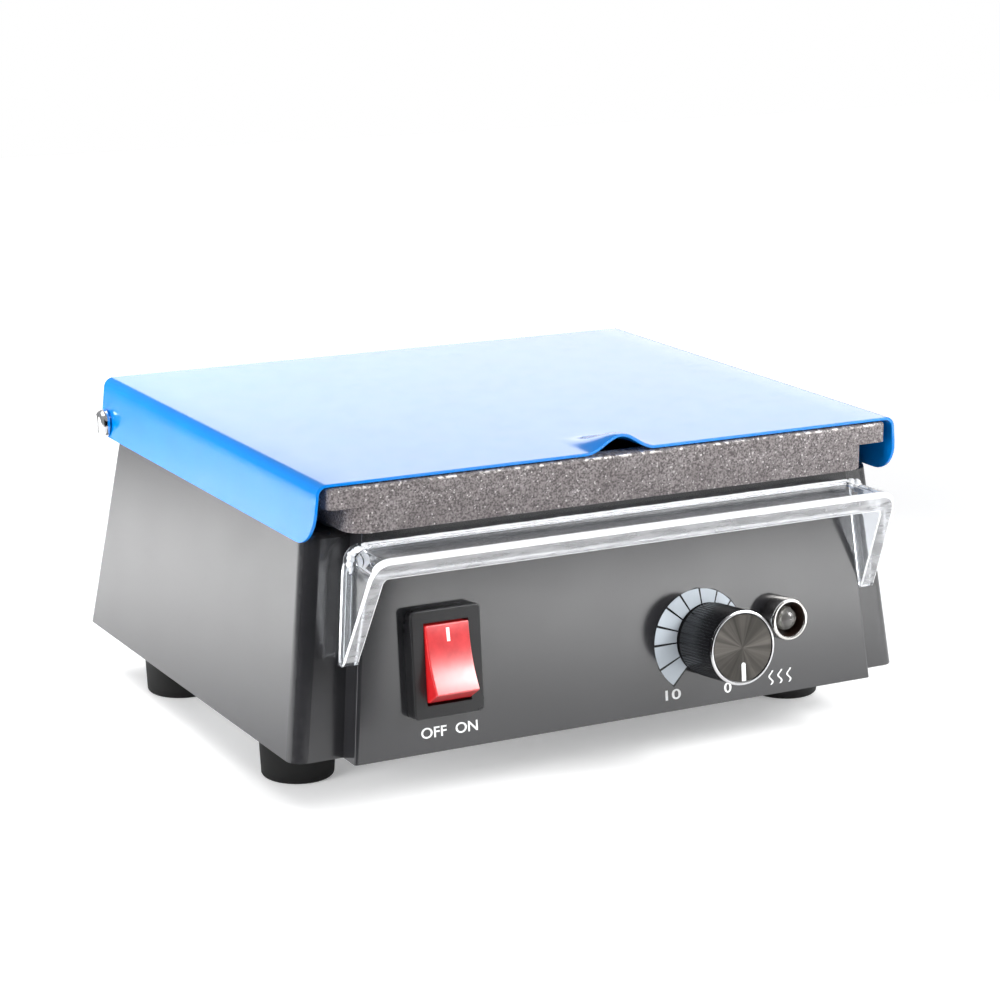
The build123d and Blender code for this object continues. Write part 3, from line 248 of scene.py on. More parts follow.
def embossed(nodes, links, surface, height, depth, strength=1.0):
    """Surface relief from a height output, its depth in millimetres."""
    part = nodes.new("ShaderNodeBump")
    part.inputs["Strength"].default_value = strength
    part.inputs["Distance"].default_value = depth * MM
    links.new(height, part.inputs["Height"])
    links.new(part.outputs["Normal"], surface.inputs["Normal"])


def moulded(name, colour, roughness, grain=2600, depth=0.004, mottle=0.12, **sockets):
    """Moulded plastic or rubber: faint mottling, a fine mould grain and uneven gloss."""
    made, nodes, links, surface = shader(name)
    cloud = textured(nodes, links, 70, 5.0)
    fine = textured(nodes, links, grain, 2.0)
    factor = spread(nodes, links, cloud)
    pale = tuple(min(1, part * (1 + mottle)) for part in colour)
    deep = tuple(part * (1 - mottle) for part in colour)
    links.new(blended(nodes, links, factor, deep, pale), surface.inputs["Base Color"])
    rough = spread(nodes, links, cloud, low=roughness * 0.85, high=roughness * 1.15)
    links.new(rough, surface.inputs["Roughness"])
    embossed(nodes, links, surface, fine, depth)
    for socket, number in sockets.items():
        surface.inputs[socket.replace("_", " ")].default_value = number
    return made


def dress(names, material):
    """Give CAD pieces, whose shape stays, their finish."""
    for name in names:
        node[name].data.materials.clear()
        node[name].data.materials.append(material)


housing_plastic = moulded("housing plastic", (0.018, 0.018, 0.020), 0.20, IOR=1.75)
dress(["housing"], housing_plastic)


# ---- feet, base plate and their screws ----
# Four tapered rubber feet hang on M4 screws from the zinc-plated sheet that closes the housing
# from below. Each foot is moulded with a recess for its screw's head.
rubber = moulded("black rubber", (0.006, 0.006, 0.006), 0.70, grain=1500, depth=0.02, mottle=0.25)
dress(["feet"], rubber)


def plated(name, colour, roughness, scale=900, stretch=(1, 1, 1), **sockets):
    """Bare or plated metal: uneven gloss and faint marks, drawn out along one direction."""
    made, nodes, links, surface = shader(name)
    marks = textured(nodes, links, scale, 4.0, stretch)
    cloud = textured(nodes, links, 140, 3.0)
    factor = spread(nodes, links, cloud)
    links.new(
        blended(nodes, links, factor, tuple(part * 0.86 for part in colour), colour),
        surface.inputs["Base Color"],
    )
    rough = spread(nodes, links, marks, low=roughness * 0.7, high=roughness * 1.3)
    links.new(rough, surface.inputs["Roughness"])
    embossed(nodes, links, surface, marks, 0.004)
    surface.inputs["Metallic"].default_value = 1.0
    for socket, number in sockets.items():
        surface.inputs[socket.replace("_", " ")].default_value = number
    return made


sheet_zinc = plated("zinc-plated sheet", (0.62, 0.63, 0.64), 0.34, 500, (1, 6, 1))
bright_zinc = plated("bright zinc", (0.74, 0.75, 0.76), 0.22)
dress(["base_plate", "heater_clamp_plate"], sheet_zinc)
dress(
    ["base_screws", "foot_screws", "foot_nuts", "panel_screws", "tank_screws", "heater_studs",
     "heater_nuts", "cutout_screws", "sensor_screw", "board_screws", "inlet_screws",
     "inlet_nuts", "earth_stud", "earth_nut", "pot_washer", "pot_nut", "lamp_nut",
     "knob_set_screw", "pot_shaft"],
    bright_zinc,
)


# ---- mains inlet ----
# A black phenolic appliance inlet, screwed to the rear wall by its flange, with three flat
# brass pins in its socket.
black_plastic = moulded("black plastic", (0.012, 0.012, 0.013), 0.30, depth=0.003, mottle=0.2)
brass = plated("nickelled brass", (0.72, 0.62, 0.42), 0.25)
dress(["inlet_body"], black_plastic)
dress(["inlet_pins", "switch_terminals", "fuse_clips"], brass)


# ---- control board ----
# A small glass-epoxy board on nylon pillars, with the relay, the capacitors, the fuse and the
# terminal block that switch the heater, and the earth tag beside it.
board_green = moulded("solder mask", (0.012, 0.11, 0.045), 0.28, grain=600, depth=0.01, mottle=0.3)
nylon = moulded("white nylon", (0.72, 0.71, 0.66), 0.42)
relay_blue = moulded("relay case", (0.02, 0.10, 0.42), 0.30)
film_yellow = moulded("capacitor film", (0.75, 0.52, 0.06), 0.30)
can_sleeve = moulded("capacitor sleeve", (0.02, 0.03, 0.07), 0.25)
terminal_green = moulded("terminal block", (0.03, 0.30, 0.09), 0.38)
ceramic = moulded("fuse and resistor bodies", (0.52, 0.45, 0.33), 0.35)
dress(["control_board"], board_green)
dress(["board_standoffs", "lid_pivot_washers"], nylon)
dress(["relay"], relay_blue)
dress(["film_capacitor"], film_yellow)
dress(["can_capacitor"], can_sleeve)
dress(["terminal_block"], terminal_green)
dress(["fuse", "board_components"], ceramic)
dress(["earth_lug"], bright_zinc)


# ---- heater under the tank ----
# A mica-faced flat element pressed against the casting by a ceramic-fibre pad and a steel
# plate, with a disc cut-out and a temperature sensor screwed on beside it.
mica = moulded("mica", (0.36, 0.29, 0.20), 0.35, grain=400, depth=0.01, mottle=0.4)
fibre = moulded("ceramic fibre", (0.82, 0.80, 0.76), 0.95, grain=900, depth=0.15)
bakelite = moulded("brown bakelite", (0.07, 0.028, 0.012), 0.32)
silicone = moulded("grey silicone", (0.10, 0.10, 0.10), 0.55)
dress(["heater_element"], mica)
dress(["heater_pad"], fibre)
dress(["thermal_cutout", "pot_body"], bakelite)
dress(["temperature_sensor"], brass)
dress(["tank_gasket"], silicone)


# ---- wax tank ----
# An aluminium sand casting under a rough grey-brown coating: a thick flat rim over a plinth,
# a sunken deck and three wells. The coating is rubbed to bright metal along the rim's edges.
rim_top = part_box("wax_tank")[1].z
cast, nodes, links, surface = shader("coated casting")
where = nodes.new("ShaderNodeTexCoord")
crumbs = nodes.new("ShaderNodeTexVoronoi")
crumbs.inputs["Scale"].default_value = 3600
links.new(where.outputs["Object"], crumbs.inputs["Vector"])
grit = textured(nodes, links, 2600, 3.0)
cloud = textured(nodes, links, 160, 4.0)
grey, pale_grey, bare_metal = (0.215, 0.190, 0.190), (0.305, 0.278, 0.278), (0.78, 0.74, 0.70)
dark_grit, bright_grit = (0.070, 0.060, 0.060), (0.55, 0.52, 0.51)
tone = blended(nodes, links, spread(nodes, links, cloud), grey, pale_grey)
speck = spread(nodes, links, grit, 0.36, 0.64)
tone = blended(nodes, links, speck, dark_grit, tone)
spark = spread(nodes, links, crumbs.outputs["Color"], 0.86, 0.92)
tone = blended(nodes, links, spark, tone, bright_grit)
height = nodes.new("ShaderNodeSeparateXYZ")
links.new(where.outputs["Object"], height.inputs[0])
worn_from, worn_to = rim_top - 0.7 * MM, rim_top - 0.2 * MM
near_top = spread(nodes, links, height.outputs["Z"], worn_from, worn_to)
chips = spread(nodes, links, textured(nodes, links, 1000, 6.0), 0.50, 0.60)
worn = nodes.new("ShaderNodeMath")
worn.operation = "MULTIPLY"
links.new(near_top, worn.inputs[0])
links.new(chips, worn.inputs[1])
links.new(blended(nodes, links, worn.outputs[0], tone, bare_metal), surface.inputs["Base Color"])
for socket, coated, bare in (("Metallic", 0.0, 0.85), ("Roughness", 0.62, 0.30)):
    links.new(spread(nodes, links, worn.outputs[0], 0, 1, coated, bare), surface.inputs[socket])
embossed(nodes, links, surface, grit, 0.09, 0.9)
dress(["wax_tank"], cast)


# ---- control panel ----
# A shallow moulded tray screwed to the sloping front from inside. It is the same dark grey
# plastic as the housing, with a smoother, shinier face that mirrors the controls.
panel_plastic = moulded("panel plastic", (0.020, 0.020, 0.022), 0.13, depth=0.0015, IOR=1.75)
dress(["front_panel"], panel_plastic)

# on the panel a place is x across, s up its slope and the distance out of its face, in millimetres
front_slope, panel_ahead, panel_foot_z = 0.1148, 57.915, 11.0
panel_tilt = math.atan(front_slope)
panel_place = Matrix((
    (MM, 0, 0, 0),
    (0, MM * math.sin(panel_tilt), -MM * math.cos(panel_tilt), (middle_y - panel_ahead) * MM),
    (0, MM * math.cos(panel_tilt), MM * math.sin(panel_tilt), panel_foot_z * MM),
    (0, 0, 0, 1),
))


# ---- rocker switch ----
# A snap-in lit rocker switch: a black frame with a dished, translucent red rocker that swings
# on two side pins. It is shown pressed in at the top, which is ON.
dress(["switch_frame"], black_plastic)


def finish(name, work, place, materials, body, replaced=(), sharp=35):
    """Put a drawn mesh in its place as a finished piece that rides on a body."""
    bmesh.ops.transform(work, matrix=place, verts=work.verts)
    mesh = bpy.data.meshes.new(name)
    work.to_mesh(mesh)
    work.free()
    mesh.shade_smooth()
    mesh.set_sharp_from_angle(angle=math.radians(sharp))
    for material in materials:
        mesh.materials.append(material)
    made = bpy.data.objects.new(name, mesh)
    scene.collection.objects.link(made)
    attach(made, body)
    if replaced:
        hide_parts(*replaced)
    return made


def loft(work, rings, closed=True, capped=True):
    """Join rings of points into a skin, and close its two ends."""
    rows = [[work.verts.new(point) for point in ring] for ring in rings]
    count = len(rows[0])
    for low, high in zip(rows, rows[1:]):
        for step in range(count if closed else count - 1):
            after = (step + 1) % count
            work.faces.new((low[step], low[after], high[after], high[step]))
    if capped:
        work.faces.new(rows[0][::-1])
        work.faces.new(rows[-1])
    return rows


def sealed(work):
    """Merge doubled points and turn every face outwards."""
    bmesh.ops.remove_doubles(work, verts=work.verts, dist=0.001)
    bmesh.ops.recalc_face_normals(work, faces=work.faces)


def bevelled(made, width, segments=3, angle=35):
    """Round a piece's edges, the width in millimetres."""
    part = made.modifiers.new("rounded edges", "BEVEL")
    part.width = width * MM
    part.segments = segments
    part.limit_method = "ANGLE"
    part.angle_limit = math.radians(angle)
    part.harden_normals = True


switch_x, switch_s = -40.4, 17.9
switch_at = panel_place @ Matrix.Translation((switch_x, switch_s, 0))

lit_red, nodes, links, surface = shader("lit red")
cloud = textured(nodes, links, 500, 3.0)
factor = spread(nodes, links, cloud)
deep_red, bright_red = (0.62, 0.008, 0.014), (0.78, 0.02, 0.026)
links.new(blended(nodes, links, factor, deep_red, bright_red), surface.inputs["Base Color"])
surface.inputs["Roughness"].default_value = 0.28
surface.inputs["Transmission Weight"].default_value = 0.25
surface.inputs["Emission Color"].default_value = (1.0, 0.03, 0.03, 1)
surface.inputs["Emission Strength"].default_value = 0.10
surface.inputs["Coat Weight"].default_value = 1.0
surface.inputs["Coat Roughness"].default_value = 0.22
surface.inputs["Coat IOR"].default_value = 2.2

half_length, half_foot, end_height, hollow = 6.7, 7.7, 4.3, 28.0
foot_depth, foot_bevel, rocker_half_width = 3.2, 1.4, 4.65
dip = hollow - math.sqrt(hollow**2 - half_length**2)


def dished_face(s):
    """Height of the rocker's dished face above its pins, s along it from the middle."""
    return end_height - dip + hollow - math.sqrt(hollow**2 - s * s)


rise = [half_length * (1 - step / 12) for step in range(25)]
outline = [(s, dished_face(s)) for s in rise]
outline += [(-half_foot, 0), (-half_foot + foot_bevel, -foot_depth),
            (half_foot - foot_bevel, -foot_depth), (half_foot, 0)]
pin_out, pressed_in = 1.2, math.radians(-15)
tilt = Matrix.Translation((0, 0, pin_out)) @ Matrix.Rotation(pressed_in, 4, "X")
work = bmesh.new()
loft(work, [[(x, s, out) for s, out in outline] for x in (-rocker_half_width, rocker_half_width)])
sealed(work)
rocker = finish("rocker", work, switch_at @ tilt, [lit_red], "rocker",
                ["switch_rocker"])
bevelled(rocker, 0.3)

white_ink = moulded("white print", (0.86, 0.87, 0.87), 0.45, grain=4000, depth=0.003, mottle=0.03)
work = bmesh.new()
bar_half, bar_low, bar_high, bar_sunk, bar_proud = 0.33, 3.3, 5.9, -0.05, 0.06
bar = [(-bar_half, bar_low), (bar_half, bar_low), (bar_half, bar_high), (-bar_half, bar_high)]
loft(work, [[(x, s, dished_face(s) + lift) for x, s in bar] for lift in (bar_sunk, bar_proud)])
sealed(work)
finish("rocker_mark", work, switch_at @ tilt, [white_ink], "rocker")


# ---- heat knob ----
# A black ribbed barrel pushed on the potentiometer's shaft and held by a set screw. A turned
# metal cap is let into its front, inside a diamond-cut bright rim, with a white line at six.
knob_x, knob_s = 19.9, 13.75
knob_at = panel_place @ Matrix.Translation((knob_x, knob_s, 0))
rim_bright = plated("diamond-cut rim", (0.74, 0.74, 0.75), 0.16)


def around(profile, steps):
    """Rings of a turned shape, from (radius, distance out) pairs, about the local third axis."""
    return [
        [(radius * math.cos(math.tau * step / steps),
          radius * math.sin(math.tau * step / steps), out) for step in range(steps)]
        for radius, out in profile
    ]


barrel_profile = [
    (3.05, 9.6), (3.05, 5.1), (6.5, 5.1), (6.5, 1.05), (6.65, 0.9), (7.1, 0.9), (7.38, 1.2),
    (7.38, 12.2), (7.5, 12.35), (7.5, 12.68), (7.44, 12.84), (7.12, 13.0), (7.0, 13.0), (6.8, 12.9),
    (6.8, 12.15),
]
turned_steps, rim_low, rim_inner, rim_outer = 96, 12.7, 7.0, 7.47
work = bmesh.new()
loft(work, around(barrel_profile, turned_steps))
for face in work.faces:
    middle = face.calc_center_median()
    if middle.z > rim_low and rim_inner < math.hypot(middle.x, middle.y) < rim_outer:
        face.material_index = 1
sealed(work)
knob_black = moulded("knob plastic", (0.005, 0.005, 0.006), 0.26, depth=0.003, mottle=0.2)
finish("knob_barrel_turned", work, knob_at, [knob_black, rim_bright], "knob",
       ["knob_barrel"])

tree = bpy.data.node_groups.new("ribs round a barrel", "GeometryNodeTree")
for label, kind in (("Ribs", "NodeSocketInt"), ("Barrel radius", "NodeSocketFloat"),
                    ("Rib width", "NodeSocketFloat"), ("Rib length", "NodeSocketFloat"),
                    ("Material", "NodeSocketMaterial")):
    tree.interface.new_socket(label, in_out="INPUT", socket_type=kind)
tree.interface.new_socket("Geometry", in_out="OUTPUT", socket_type="NodeSocketGeometry")
given, result = tree.nodes.new("NodeGroupInput"), tree.nodes.new("NodeGroupOutput")
places = tree.nodes.new("GeometryNodeMeshCircle")
rib = tree.nodes.new("GeometryNodeMeshCylinder")
rib.inputs["Vertices"].default_value = 8
rib.inputs["Side Segments"].default_value = 1
spot = tree.nodes.new("GeometryNodeInstanceOnPoints")
real = tree.nodes.new("GeometryNodeRealizeInstances")
paint = tree.nodes.new("GeometryNodeSetMaterial")
tree.links.new(given.outputs["Ribs"], places.inputs["Vertices"])
tree.links.new(given.outputs["Barrel radius"], places.inputs["Radius"])
tree.links.new(given.outputs["Rib width"], rib.inputs["Radius"])
tree.links.new(given.outputs["Rib length"], rib.inputs["Depth"])
tree.links.new(places.outputs["Mesh"], spot.inputs["Points"])
tree.links.new(rib.outputs["Mesh"], spot.inputs["Instance"])
tree.links.new(spot.outputs["Instances"], real.inputs["Geometry"])
tree.links.new(real.outputs["Geometry"], paint.inputs["Geometry"])
tree.links.new(given.outputs["Material"], paint.inputs["Material"])
tree.links.new(paint.outputs["Geometry"], result.inputs["Geometry"])


def grown(name, tree, values):
    """The plain mesh that a node tree makes from named inputs."""
    seed = bpy.data.objects.new(name, bpy.data.meshes.new(name))
    scene.collection.objects.link(seed)
    part = seed.modifiers.new("grown", "NODES")
    part.node_group = tree
    for item in tree.interface.items_tree:
        if item.in_out == "INPUT" and item.name in values:
            part[item.identifier] = values[item.name]
    bpy.context.view_layer.update()
    evaluated = seed.evaluated_get(bpy.context.evaluated_depsgraph_get())
    mesh = bpy.data.meshes.new_from_object(evaluated)
    bpy.data.objects.remove(seed)
    return mesh


rib_mesh = grown("ribs", tree, {
    "Ribs": 72, "Barrel radius": 7.34, "Rib width": 0.15, "Rib length": 10.6,
    "Material": knob_black,
})
work = bmesh.new()
work.from_mesh(rib_mesh)
ribs_out = 6.75
finish("knob_ribs", work, knob_at @ Matrix.Translation((0, 0, ribs_out)), [knob_black], "knob",
       sharp=60)

spun, nodes, links, surface = shader("spun metal")
where = nodes.new("ShaderNodeAttribute")
where.attribute_name = "turned"
rings = nodes.new("ShaderNodeTexWave")
rings.wave_type = "BANDS"
rings.inputs["Scale"].default_value = 5.5
rings.inputs["Distortion"].default_value = 1.5
links.new(where.outputs["Vector"], rings.inputs["Vector"])
# the base colour turns lighter and darker in wedges round the cap's face: a painted highlight and
# painted shade of the spun finish, on top of its real anisotropic gloss
split = nodes.new("ShaderNodeSeparateXYZ")
links.new(where.outputs["Vector"], split.inputs[0])
painted_streak = nodes.new("ShaderNodeTexNoise")
painted_streak.noise_dimensions = "1D"
painted_streak.inputs["Scale"].default_value = 3.0
links.new(split.outputs["Y"], painted_streak.inputs["W"])
tone = spread(nodes, links, painted_streak.outputs["Fac"])
painted_shade_metal, painted_highlight_metal = (0.055, 0.052, 0.048), (0.12, 0.112, 0.102)
links.new(blended(nodes, links, tone, painted_shade_metal, painted_highlight_metal), surface.inputs["Base Color"])
surface.inputs["Metallic"].default_value = 1.0
surface.inputs["Roughness"].default_value = 0.36
surface.inputs["Anisotropic"].default_value = 0.85
tangent = nodes.new("ShaderNodeTangent")
tangent.direction_type = "UV_MAP"
tangent.uv_map = "turning"
links.new(tangent.outputs["Tangent"], surface.inputs["Tangent"])
embossed(nodes, links, surface, rings.outputs["Fac"], 0.004, 0.6)
work = bmesh.new()
cap_edge, cap_out, cap_width, cap_dish, cap_rings = 6.70, 12.90, 6.65, 0.10, 14
face_profile = [(6.78, 12.25), (6.78, 12.82), (cap_edge, cap_out)]
for step in range(1, cap_rings + 1):
    face_profile.append(
        (cap_edge - cap_width * step / cap_rings, cap_out - cap_dish * step / cap_rings)
    )
loft(work, around(face_profile, turned_steps))
turning = work.loops.layers.uv.new("turning")
turned = work.verts.layers.float_vector.new("turned")
for vert in work.verts:
    angle = math.atan2(vert.co.y, vert.co.x)
    vert[turned] = (math.hypot(vert.co.x, vert.co.y), angle, 0)
for face in work.faces:
    middle = face.calc_center_median()
    base = math.atan2(middle.y, middle.x)
    for loop in face.loops:
        angle = math.atan2(loop.vert.co.y, loop.vert.co.x)
        while angle - base > math.pi:
            angle -= math.tau
        while angle - base < -math.pi:
            angle += math.tau
        loop[turning].uv = (angle / math.tau + 0.5, math.hypot(loop.vert.co.x, loop.vert.co.y) / 8)
bmesh.ops.recalc_face_normals(work, faces=work.faces)
finish("knob_cap", work, knob_at, [spun], "knob", ["knob_face"])

work = bmesh.new()
line_half, line_foot, line_head, line_sunk, line_proud = 0.45, -6.65, -3.4, 12.7, 12.97
line = [(-line_half, line_foot), (line_half, line_foot), (line_half, line_head)]
for turn in range(15, 180, 15):
    x, s = line_half * math.cos(math.radians(turn)), line_half * math.sin(math.radians(turn))
    line.append((x, line_head + s))
line.append((-line_half, line_head))
loft(work, [[(x, s, out) for x, s in line] for out in (line_sunk, line_proud)])
sealed(work)
finish("knob_line", work, knob_at, [white_ink], "knob", ["knob_pointer"])


# ---- indicator lamp ----
# A clear light-emitting diode in a turned, chromed brass bezel, held by a nut behind the
# panel. The bore is dark inside.
lamp_x, lamp_s, bore_radius = 37.1, 15.9, 3.4
lamp_at = panel_place @ Matrix.Translation((lamp_x, lamp_s, 0))
chrome = plated("bright chrome", (0.80, 0.78, 0.75), 0.14)
bore_dark = moulded("dark bore", (0.030, 0.016, 0.012), 0.25)
lamp_profile = [
    (2.55, -7.9), (3.9, -7.9), (3.9, -0.3), (3.9, 0.0), (4.2, 0.0), (4.3, 0.12), (4.3, 4.0),
    (4.2, 4.3), (4.02, 4.46), (3.82, 4.5), (3.6, 4.44), (3.46, 4.25), (bore_radius, 4.0),
    (bore_radius, 0.1), (2.55, 0.0),
]
lamp_steps = 72
work = bmesh.new()
rows = loft(work, around(lamp_profile, lamp_steps), capped=False)
for step in range(lamp_steps):
    after = (step + 1) % lamp_steps
    work.faces.new((rows[-1][step], rows[-1][after], rows[0][after], rows[0][step]))
for face in work.faces:
    middle = face.calc_center_median()
    if math.hypot(middle.x, middle.y) < bore_radius + 0.04 and middle.z > -0.2:
        face.material_index = 1
bmesh.ops.recalc_face_normals(work, faces=work.faces)
finish("lamp_ring", work, lamp_at, [chrome, bore_dark], "heater", ["lamp_bezel"])

epoxy, nodes, links, surface = shader("clear epoxy")
surface.inputs["Base Color"].default_value = (0.95, 0.93, 0.90, 1)
surface.inputs["Transmission Weight"].default_value = 0.9
surface.inputs["IOR"].default_value = 1.53
haze = textured(nodes, links, 900, 2.0)
links.new(spread(nodes, links, haze, low=0.03, high=0.12), surface.inputs["Roughness"])
dress(["lamp_led"], epoxy)


# ---- print on the panel ----
# Screen-printed marks: ON and OFF under the switch, a heat sign under the lamp, and round the
# knob a crescent of pale fields that widens with the heat, from 0 to 10.
ink_black = moulded("black print", (0.006, 0.006, 0.007), 0.30, depth=0.001)
crescent_across, crescent_along, crescent_radius = -2.0, -0.15, 10.6
# the directions between its fields, in degrees from the panel's right, the hot end first
marks = [226, 203.7, 180, 161.5, 141.5, 122.5, 98.5, 74, 50, 26, 2, -22]


def crescent_edge(turn):
    """Distance of the crescent's outer edge from the knob's axis in a direction."""
    middle = crescent_across * math.cos(turn) + crescent_along * math.sin(turn)
    beyond = crescent_radius**2 - crescent_across**2 - crescent_along**2
    return middle + math.sqrt(middle**2 + beyond)


def field(work, start, end, inner, spare, low, high):
    """One field of the crescent between two directions, as a thin closed plate."""
    near, far = [], []
    steps = 10
    for step in range(steps + 1):
        turn = start + (end - start) * step / steps
        reach = crescent_edge(turn) - spare
        near.append((inner * math.cos(turn), inner * math.sin(turn)))
        far.append((reach * math.cos(turn), reach * math.sin(turn)))
    edge = far + near[::-1]
    loft(work, [[(x, s, out) for x, s in edge] for out in (low, high)])


work = bmesh.new()
field(work, math.radians(marks[-1]), math.radians(marks[0] + 1),
      inner=7.2, spare=-0.22, low=0.0, high=0.02)
sealed(work)
finish("dial_backing", work, knob_at, [ink_black], "heater")
pale_ink = moulded("pale print", (0.50, 0.55, 0.60), 0.40, grain=3000, depth=0.004, mottle=0.12)
half_gap = 1.15
work = bmesh.new()
for high_end, low_end in zip(marks, marks[1:]):
    start, end = math.radians(low_end + half_gap), math.radians(high_end - half_gap)
    field(work, start, end, inner=7.3, spare=0.08, low=0.012, high=0.04)
sealed(work)
finish("dial_fields", work, knob_at, [pale_ink], "heater")


def printed(name, text, height, x, s, width):
    """Flat lettering on the panel, centred at a place, as a thin raised print."""
    words = bpy.data.curves.new(name, "FONT")
    words.body = text
    words.align_x, words.align_y = "CENTER", "CENTER"
    words.extrude = 0.03
    words.offset = 0.012
    holder = bpy.data.objects.new(name, words)
    scene.collection.objects.link(holder)
    bpy.context.view_layer.update()
    evaluated = holder.evaluated_get(bpy.context.evaluated_depsgraph_get())
    flat = bpy.data.meshes.new_from_object(evaluated)
    bpy.data.objects.remove(holder)
    drawn = bmesh.new()
    drawn.from_mesh(flat)
    xs = [vert.co.x for vert in drawn.verts]
    ys = [vert.co.y for vert in drawn.verts]
    tall = height / (max(ys) - min(ys))
    wide = width / (max(xs) - min(xs))
    middle = Vector(((min(xs) + max(xs)) / 2, (min(ys) + max(ys)) / 2, 0))
    place = Matrix.Translation((x, s, 0.018)) @ Matrix.Diagonal((wide, tall, 1.0, 1.0))
    bmesh.ops.transform(drawn, matrix=place @ Matrix.Translation(-middle), verts=drawn.verts)
    sealed(drawn)
    return finish(name, drawn, panel_place, [white_ink], "heater")


letter_height = 2.1
printed("print_switch", "OFF  ON", letter_height, x=-39.2, s=4.0, width=12.2)
printed("print_dial_high", "10", letter_height, x=11.3, s=3.4, width=3.6)
printed("print_dial_low", "0", letter_height, x=24.3, s=2.95, width=1.7)

wave_x, wave_pitch, wave_foot, wave_height = 37.0, 2.2, 2.0, 2.9
wave_swing, wave_turns, wave_steps, stroke_half = 0.42, 1.25, 16, 0.2
work = bmesh.new()
for column in range(3):
    middle = wave_x + (column - 1) * wave_pitch
    path = []
    for step in range(wave_steps + 1):
        sway = wave_swing * math.sin(step / wave_steps * math.tau * wave_turns)
        path.append((middle + sway, wave_foot + wave_height * step / wave_steps))
    edge = [(x - stroke_half, s) for x, s in path] + [(x + stroke_half, s) for x, s in path[::-1]]
    loft(work, [[(x, s, out) for x, s in edge] for out in (0.0, 0.03)])
sealed(work)
finish("print_heat_sign", work, panel_place, [white_ink], "heater")


# ---- splash guard ----
# One clear acrylic moulding: a falling top plate and two wedge-shaped cheeks that grip the
# panel's sides and narrow to rounded tips. Its rounded edges are near-opaque white, a painted
# highlight.
clear, nodes, links, surface = shader("clear acrylic")
surface.inputs["Base Color"].default_value = (0.93, 0.96, 1.0, 1)
surface.inputs["Transmission Weight"].default_value = 0.97
surface.inputs["IOR"].default_value = 1.49
haze = textured(nodes, links, 320, 5.0, (1, 1, 2))
links.new(spread(nodes, links, haze, 0.35, 0.65, 0.02, 0.07), surface.inputs["Roughness"])
ripple = textured(nodes, links, 260, 3.0)
embossed(nodes, links, surface, ripple, 0.05, 0.35)


def hazed(name, clear_low, clear_high, rough_low, rough_high):
    """Acrylic part clear, part white: frosted on cut faces, the white of cement, and a painted
    highlight on rounded edges.
    """
    made, nodes, links, surface = shader(name)
    surface.inputs["Base Color"].default_value = (0.95, 0.96, 0.98, 1)
    surface.inputs["IOR"].default_value = 1.49
    cloud = textured(nodes, links, 420, 4.0, (0.4, 1, 2))
    for socket, low, high in (("Roughness", rough_low, rough_high),
                              ("Transmission Weight", clear_low, clear_high)):
        links.new(spread(nodes, links, cloud, low=low, high=high), surface.inputs[socket])
    return made


cut_face = hazed("acrylic cut face",
                 clear_low=0.62, clear_high=0.80, rough_low=0.12, rough_high=0.22)
# near-opaque white: on the guard's rounded edges a painted highlight, on the cement the cement's
# own white
cement_and_edge_highlight = hazed("acrylic cement and edge highlight",
                 clear_low=0.0, clear_high=0.15, rough_low=0.15, rough_high=0.35)

thick, gap, skin, panel_half_foot, side_slope = 3.2, 0.1, 0.02, 59.5, 0.0955
top_s, front_s, inner_front_s, tip_s, reach, grip = 41.9, 40.7, 36.6, 19.2, 12.6, 2.1
fall = top_s - front_s
outer_round, inner_round, tip_round = 3.4, 0.8, 1.1


def panel_half(s):
    """Half-width of the panel's face, s up its slope."""
    return panel_half_foot - side_slope * s


def cut_depth(s):
    """Distance out of the slanting front of a cheek."""
    return reach * (s - tip_s) / (front_s - tip_s)


def on_cut(point):
    """Whether a corner of the mesh lies in the slanting front of a cheek."""
    return abs(point.z - cut_depth(point.y)) < 0.02


# rings of four corners, from the right cheek's tip up, round its corner and along to the middle
stations = []
tip_steps, cheek_steps, corner_steps, plate_steps = 6, 7, 10, 10
for step in range(tip_steps + 1):
    turn = math.radians(90 * step / tip_steps)
    s = tip_s + tip_round * (1 - math.cos(turn))
    ease = tip_round * (1 - math.sin(turn)) * 0.9
    inner, front = panel_half(s) + gap, cut_depth(s)
    front -= ease * 0.5
    stations.append([(inner + thick, s, -grip + ease), (inner + thick, s, front),
                     (inner, s, front), (inner, s, -grip + ease)])
corner_s = top_s - outer_round
straight_end = corner_s - 1.4
for step in range(1, cheek_steps + 1):
    s = tip_s + tip_round + (straight_end - tip_s - tip_round) * step / cheek_steps
    inner, front = panel_half(s) + gap, cut_depth(s)
    low_s = min(s, inner_front_s - inner_round)
    stations.append([(inner + thick, s, -grip), (inner + thick, s, front),
                     (panel_half(low_s) + gap, low_s, cut_depth(low_s)), (inner, s, -grip)])
inner_top = top_s - thick
for step in range(corner_steps + 1):
    turn = math.radians(90 * step / corner_steps)
    c, s = math.cos(turn), math.sin(turn)
    outer_x = panel_half(top_s) + gap + thick - outer_round + outer_round * c
    outer_s = top_s - outer_round + outer_round * s
    inner_x = panel_half(inner_top) + gap - inner_round + inner_round * c
    inner_s = inner_top - inner_round + inner_round * s
    ahead_s = outer_s - fall * s
    below_s = inner_front_s - inner_round + inner_round * s
    below_x = panel_half(inner_front_s) + gap - inner_round + inner_round * c
    stations.append([(outer_x, outer_s, -grip), (outer_x, ahead_s, min(reach, cut_depth(ahead_s))),
                     (below_x, below_s, cut_depth(below_s)), (inner_x, inner_s, -grip)])
edge_x = panel_half(inner_top) + gap - inner_round - 0.15
for step in range(plate_steps + 1):
    x = edge_x * (1 - step / plate_steps)
    stations.append([(x, top_s, skin), (x, front_s, reach),
                     (x, inner_front_s, cut_depth(inner_front_s)), (x, inner_top, skin)])
left_half = [[(-x, s, out) for x, s, out in ring] for ring in stations]
right_half = stations[:-1][::-1]
work = bmesh.new()
loft(work, left_half + right_half)
sealed(work)
for face in work.faces:
    if all(vert.co.z > 0.3 and on_cut(vert.co) for vert in face.verts):
        face.material_index = 1
